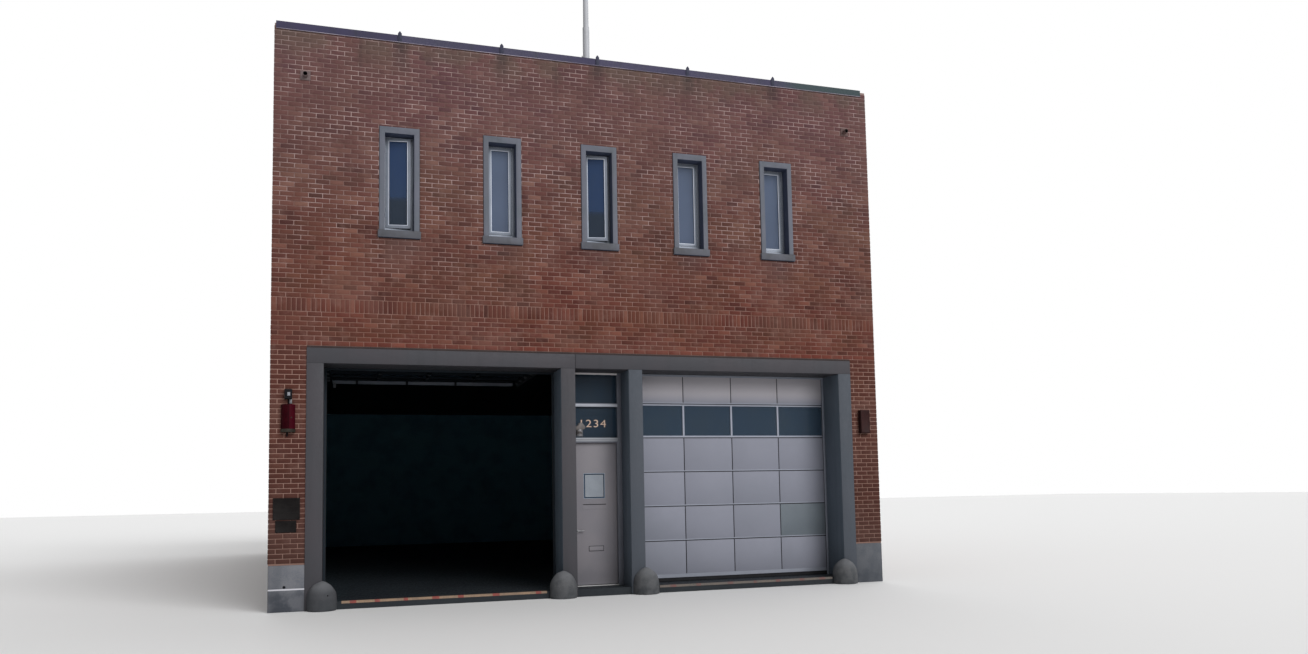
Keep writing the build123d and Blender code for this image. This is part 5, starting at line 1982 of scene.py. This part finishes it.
def makeAlarm(look):
    seam, half, head = look["seam"], look["seamHalf"], look["baseHead"]
    overBase = ((0, 0, head), (0, 0, -1))
    for name, finish, cuts in (
        ("alarmHousing", "alarmRed", [((seam - half, 0, 0), (1, 0, 0)), overBase]),
        ("alarmDoor", "alarmDoorRed", [((seam + half, 0, 0), (-1, 0, 0)), overBase]),
        ("alarmBase", "alarmBaseOlive", [((0, 0, head), (0, 0, 1))]),
    ):
        part = copyOfNode("alarm_housing", name)
        for place, normal in cuts:
            cutAway(part, place, normal)
        finishPiece(part, finish, ["alarm_housing"], edge=0.002)
    x, y, z = look["knob"]
    knob = addRod("alarmKnob", (x, y + look["knobLength"], z), (x, y, z), look["knobRadius"])
    stepFront(knob, look["knobMargin"], -look["knobRise"])
    finishPiece(knob, "alarmBaseOlive", edge=0.0015)
    x, foot, head = look["stub"]
    y = wallFace - look["stubOut"]
    stub = addRod("alarmStub", (x, y, foot), (x, y, head), look["stubRadius"])
    low = head - look["collarHeight"]
    collar = addRod("alarmStubCollar", (x, y, low), (x, y, head), look["collarRadius"], sides=6)
    finishPiece(joinPieces("alarmStub", [stub, collar]), "lampBlack", edge=0.002)


def addScrew(name, x, z, back, front, radius):
    screw = addRod(name, (x, back, z), (x, front, z), radius, sides=12)
    roundEdges(screw, width=0.0018)
    return screw


def makePlaque(name, look):
    (left, right, foot, head), bands, bandHeight, rim = look[name]
    front, inset, half = wallFace - look["out"], look["screwInset"], look["screwHalf"]
    plate = stepFront(addBlock(name, (left, front, foot), (right, wallFace, head)), rim, look["fieldDepth"])
    roundEdges(plate, width=0.0015)
    parts = [plate]
    for number, height in enumerate(bands):
        band = addBlock(f"{name}Band{number}", (left + rim * 2, front, height),
                        (right - rim * 2, front + look["bandSheet"], height + bandHeight))
        roundEdges(band, width=0.001)
        parts.append(band)
    corners = [(x, z) for z in (foot + inset, head - inset) for x in (left + inset, right - inset)]
    for number, (x, z) in enumerate(corners):
        parts.append(addScrew(f"{name}Screw{number}", x, z, front + half, front - half, look["screwRadius"]))
    finishPiece(joinPieces(name, parts), "plaqueBronze")


def makeBolt(look):
    # old bolt in the plinth, over its pale line
    x, y, z = look["place"]
    washer = addRod("plinthWasher", (x, y + look["washerSheet"], z), (x, y, z), look["washer"])
    roundEdges(washer, width=0.002)
    nut = addRod("plinthNut", (x, y, z), (x, y - look["nutSheet"], z), look["nut"], sides=6)
    roundEdges(nut, width=0.0015)
    finishPiece(joinPieces("plinthBolt", [washer, nut]), "lampBlack")


makeBolt(boltLook)
makeLamp(lampLook)
makeAlarm(alarmLook)
makePlaque("largePlaque", plaqueLook)
makePlaque("smallPlaque", plaqueLook)


# box on the right pier, with a hung front and a lock

boxLook = {
    "low": (4.868, -9.246, 2.716),
    "high": (5.042, -9.238, 3.120),
    "margin": 0.014,
    "fieldDepth": 0.003,
    "lock": (5.016, 2.918),
    "lockDepths": (-9.240, -9.252),
    "lockRadius": 0.009,
}


def makePierBox(look):
    dressNode("right_pier_box", "rightPierBox", "boxBrown", 0.002)
    front = addBlock("rightPierBoxFront", look["low"], look["high"])
    roundEdges(stepFront(front, look["margin"], look["fieldDepth"]), width=0.002)
    (x, z), (back, tip) = look["lock"], look["lockDepths"]
    lock = addRod("boxLock", (x, back, z), (x, tip, z), look["lockRadius"])
    roundEdges(lock, width=0.002)
    finishPiece(joinPieces("rightPierBoxFront", [front, lock]), "boxBrown")


makePierBox(boxLook)


# post lamp: a cast head that leans out from the post over a round shade with a rim

postLampLook = {
    "post": -0.467,
    "back": -9.005,
    "depth": 0.105,
    "head": [(0.0, 2.758), (0.0, 2.820), (0.040, 2.836), (0.080, 2.888), (0.118, 2.894), (0.180, 2.822),
             (0.172, 2.788), (0.130, 2.766), (0.060, 2.756)],
    "headMargin": 0.010,
    "headRise": 0.008,
    # distance from the post, foot, top and radius
    "shade": (0.080, 2.668, 2.780, 0.062),
    "rim": (0.080, 2.661, 2.676, 0.067),
    "smooth": 40,
}


def makePostLamp(look):
    outline = [(look["post"] + out, look["back"], height) for out, height in look["head"]]
    head = drawProfile("lampHead", outline, (0, -look["depth"], 0))
    selectFaces(head, lambda centre, normal: abs(normal.y) > squareOn)
    bpy.ops.mesh.inset(thickness=look["headMargin"])
    bpy.ops.mesh.extrude_region_shrink_fatten(TRANSFORM_OT_shrink_fatten={"value": look["headRise"]})
    leaveEdit()
    finishPiece(head, "postLampMetal", edge=0.006, segments=3, smooth=look["smooth"])
    middle = look["back"] - look["depth"] / 2
    rings = []
    for name in ("shade", "rim"):
        out, foot, top, radius = look[name]
        x = look["post"] + out
        rings.append(addRod(f"lamp{name.title()}", (x, middle, foot), (x, middle, top), radius, sides=32))
        roundEdges(rings[-1], width=0.003)
    finishPiece(joinPieces("lampShade", rings), "conduitGrey", smooth=look["smooth"])


makePostLamp(postLampLook)


# overflow outlets: plates in their own tones, screws on them, and a dark disc of painted shade inside each
# pipe

overflowLook = {
    "x": 4.778,
    "z": 8.388,
    "plate": 0.058,
    "front": -9.157,
    "screwRadius": 0.007,
    "screwSheet": 0.004,
    "pipe": 0.037,
    "shadeRadius": 0.0325,
    "shadeDepths": (-9.10, -9.09),
    "shadeMargin": 0.006,
    "shadeStep": 0.006,
}


def makeOverflowTrim(look):
    middle, level, front = look["x"], look["z"], look["front"]

    def isBore(centre, normal):
        return math.hypot(abs(centre.x) - middle, centre.z - level) < look["pipe"] and abs(normal.y) < 0.5

    pipes = dressNode("overflow_pipes", "overflowPipes", "outletPlate")
    paintFaces(pipes, "outletPlateSoiled", lambda centre, normal: centre.x > 0)
    # the bore of each pipe is painted black as shade
    paintFaces(pipes, "rubberAndShadeBlack", isBore)
    screws, shades = [], []
    near, far = look["shadeDepths"]
    for side in (-1, 1):
        for dx in (-look["plate"], look["plate"]):
            for dz in (-look["plate"], look["plate"]):
                screws.append(addScrew("overflowScrew", side * middle + dx, level + dz, front,
                                       front - look["screwSheet"], look["screwRadius"]))
        shade = addRod("overflowShade", (side * middle, near, level), (side * middle, far, level),
                       look["shadeRadius"], sides=28)
        shades.append(stepFront(shade, look["shadeMargin"], look["shadeStep"]))
    finishPiece(joinPieces("overflowScrews", screws), "outletPlate")
    finishPiece(joinPieces("overflowShadeDiscs", shades), "rubberAndShadeBlack")


makeOverflowTrim(overflowLook)
print("fixtures are made")


# rough cast wheel guards, worn and pitted, with an old bolt hole

guardLook = {
    "ground": 0.0,
    "voxel": 0.014,
    "pitSize": 0.09,
    "pitDepth": 0.012,
    "pitDetail": 4,
    "pitLevel": 0.55,
    # start and end of the drill, its radius and its sides
    "hole": ((-4.36, -9.40, 0.235), (-4.40, -9.30, 0.232), 0.011, 16),
    "smooth": 60,
}


def makeWheelGuards(look):
    guards = copyOfNode("wheel_guards", "wheelGuards")
    remesh = guards.modifiers.new("castBody", "REMESH")
    remesh.mode = "VOXEL"
    remesh.voxel_size = look["voxel"]
    applyModifier(guards, remesh)
    clouds = bpy.data.textures.new("roughCast", "CLOUDS")
    clouds.noise_scale = look["pitSize"]
    clouds.noise_depth = look["pitDetail"]
    rough = guards.modifiers.new("roughCast", "DISPLACE")
    rough.texture = clouds
    rough.strength = look["pitDepth"]
    rough.mid_level = look["pitLevel"]
    applyModifier(guards, rough)
    drill = addRod("guardDrill", *look["hole"])
    hole = guards.modifiers.new("boltHole", "BOOLEAN")
    hole.operation = "DIFFERENCE"
    hole.object = drill
    applyModifier(guards, hole)
    bpy.data.objects.remove(drill)
    cutAway(guards, (0, 0, look["ground"]), (0, 0, -1))
    finishPiece(guards, "guardConcrete", ["wheel_guards"], smooth=look["smooth"])


makeWheelGuards(guardLook)


# laps of the roof felt and the cleat on the flagpole

roofLook = {
    "halfWidth": 4.90,
    "first": -8.30,
    "pitch": 0.92,
    "count": 19,
    "lap": 0.09,
    "felt": 8.315,
    "sunk": 0.002,
    "rise": 0.005,
    "taper": 0.8,
}

cleatLook = {
    "low": (-0.118, -8.515, 9.46),
    "high": (-0.092, -8.495, 9.54),
    "horn": 0.035,
    "taper": (0.45, 0.6, 1),
    "lean": (-0.010, 0, 0),
}


def makeFeltLaps(look):
    lap = addBlock("lapPattern", (-look["halfWidth"], 0, look["felt"] - look["sunk"]),
                   (look["halfWidth"], look["lap"], look["felt"] + look["rise"]))
    selectFaces(lap, lambda centre, normal: normal.z > squareOn)
    bpy.ops.transform.resize(value=(1, look["taper"], 1))
    leaveEdit()
    roundEdges(lap, width=0.0015, segments=1)
    places = [shiftBy(0, look["first"] + step * look["pitch"]) for step in range(look["count"])]
    finishPiece(repeatPiece(lap, "roofFeltLaps", places), "roofFelt")


def isEnd(centre, normal):
    return abs(normal.z) > squareOn


def makeCleat(look):
    # two horns drawn out of a small block, thinner towards their ends
    body = addBlock("poleCleat", look["low"], look["high"])
    selectFaces(body, isEnd)
    bpy.ops.mesh.extrude_region_shrink_fatten(TRANSFORM_OT_shrink_fatten={"value": look["horn"]})
    leaveEdit()
    selectFaces(body, isEnd)
    bpy.ops.transform.resize(value=look["taper"])
    bpy.ops.transform.translate(value=look["lean"])
    leaveEdit()
    finishPiece(body, "pipeMetal", edge=0.003)


makeFeltLaps(roofLook)
makeCleat(cleatLook)
print("guards, roof and pole are dressed")
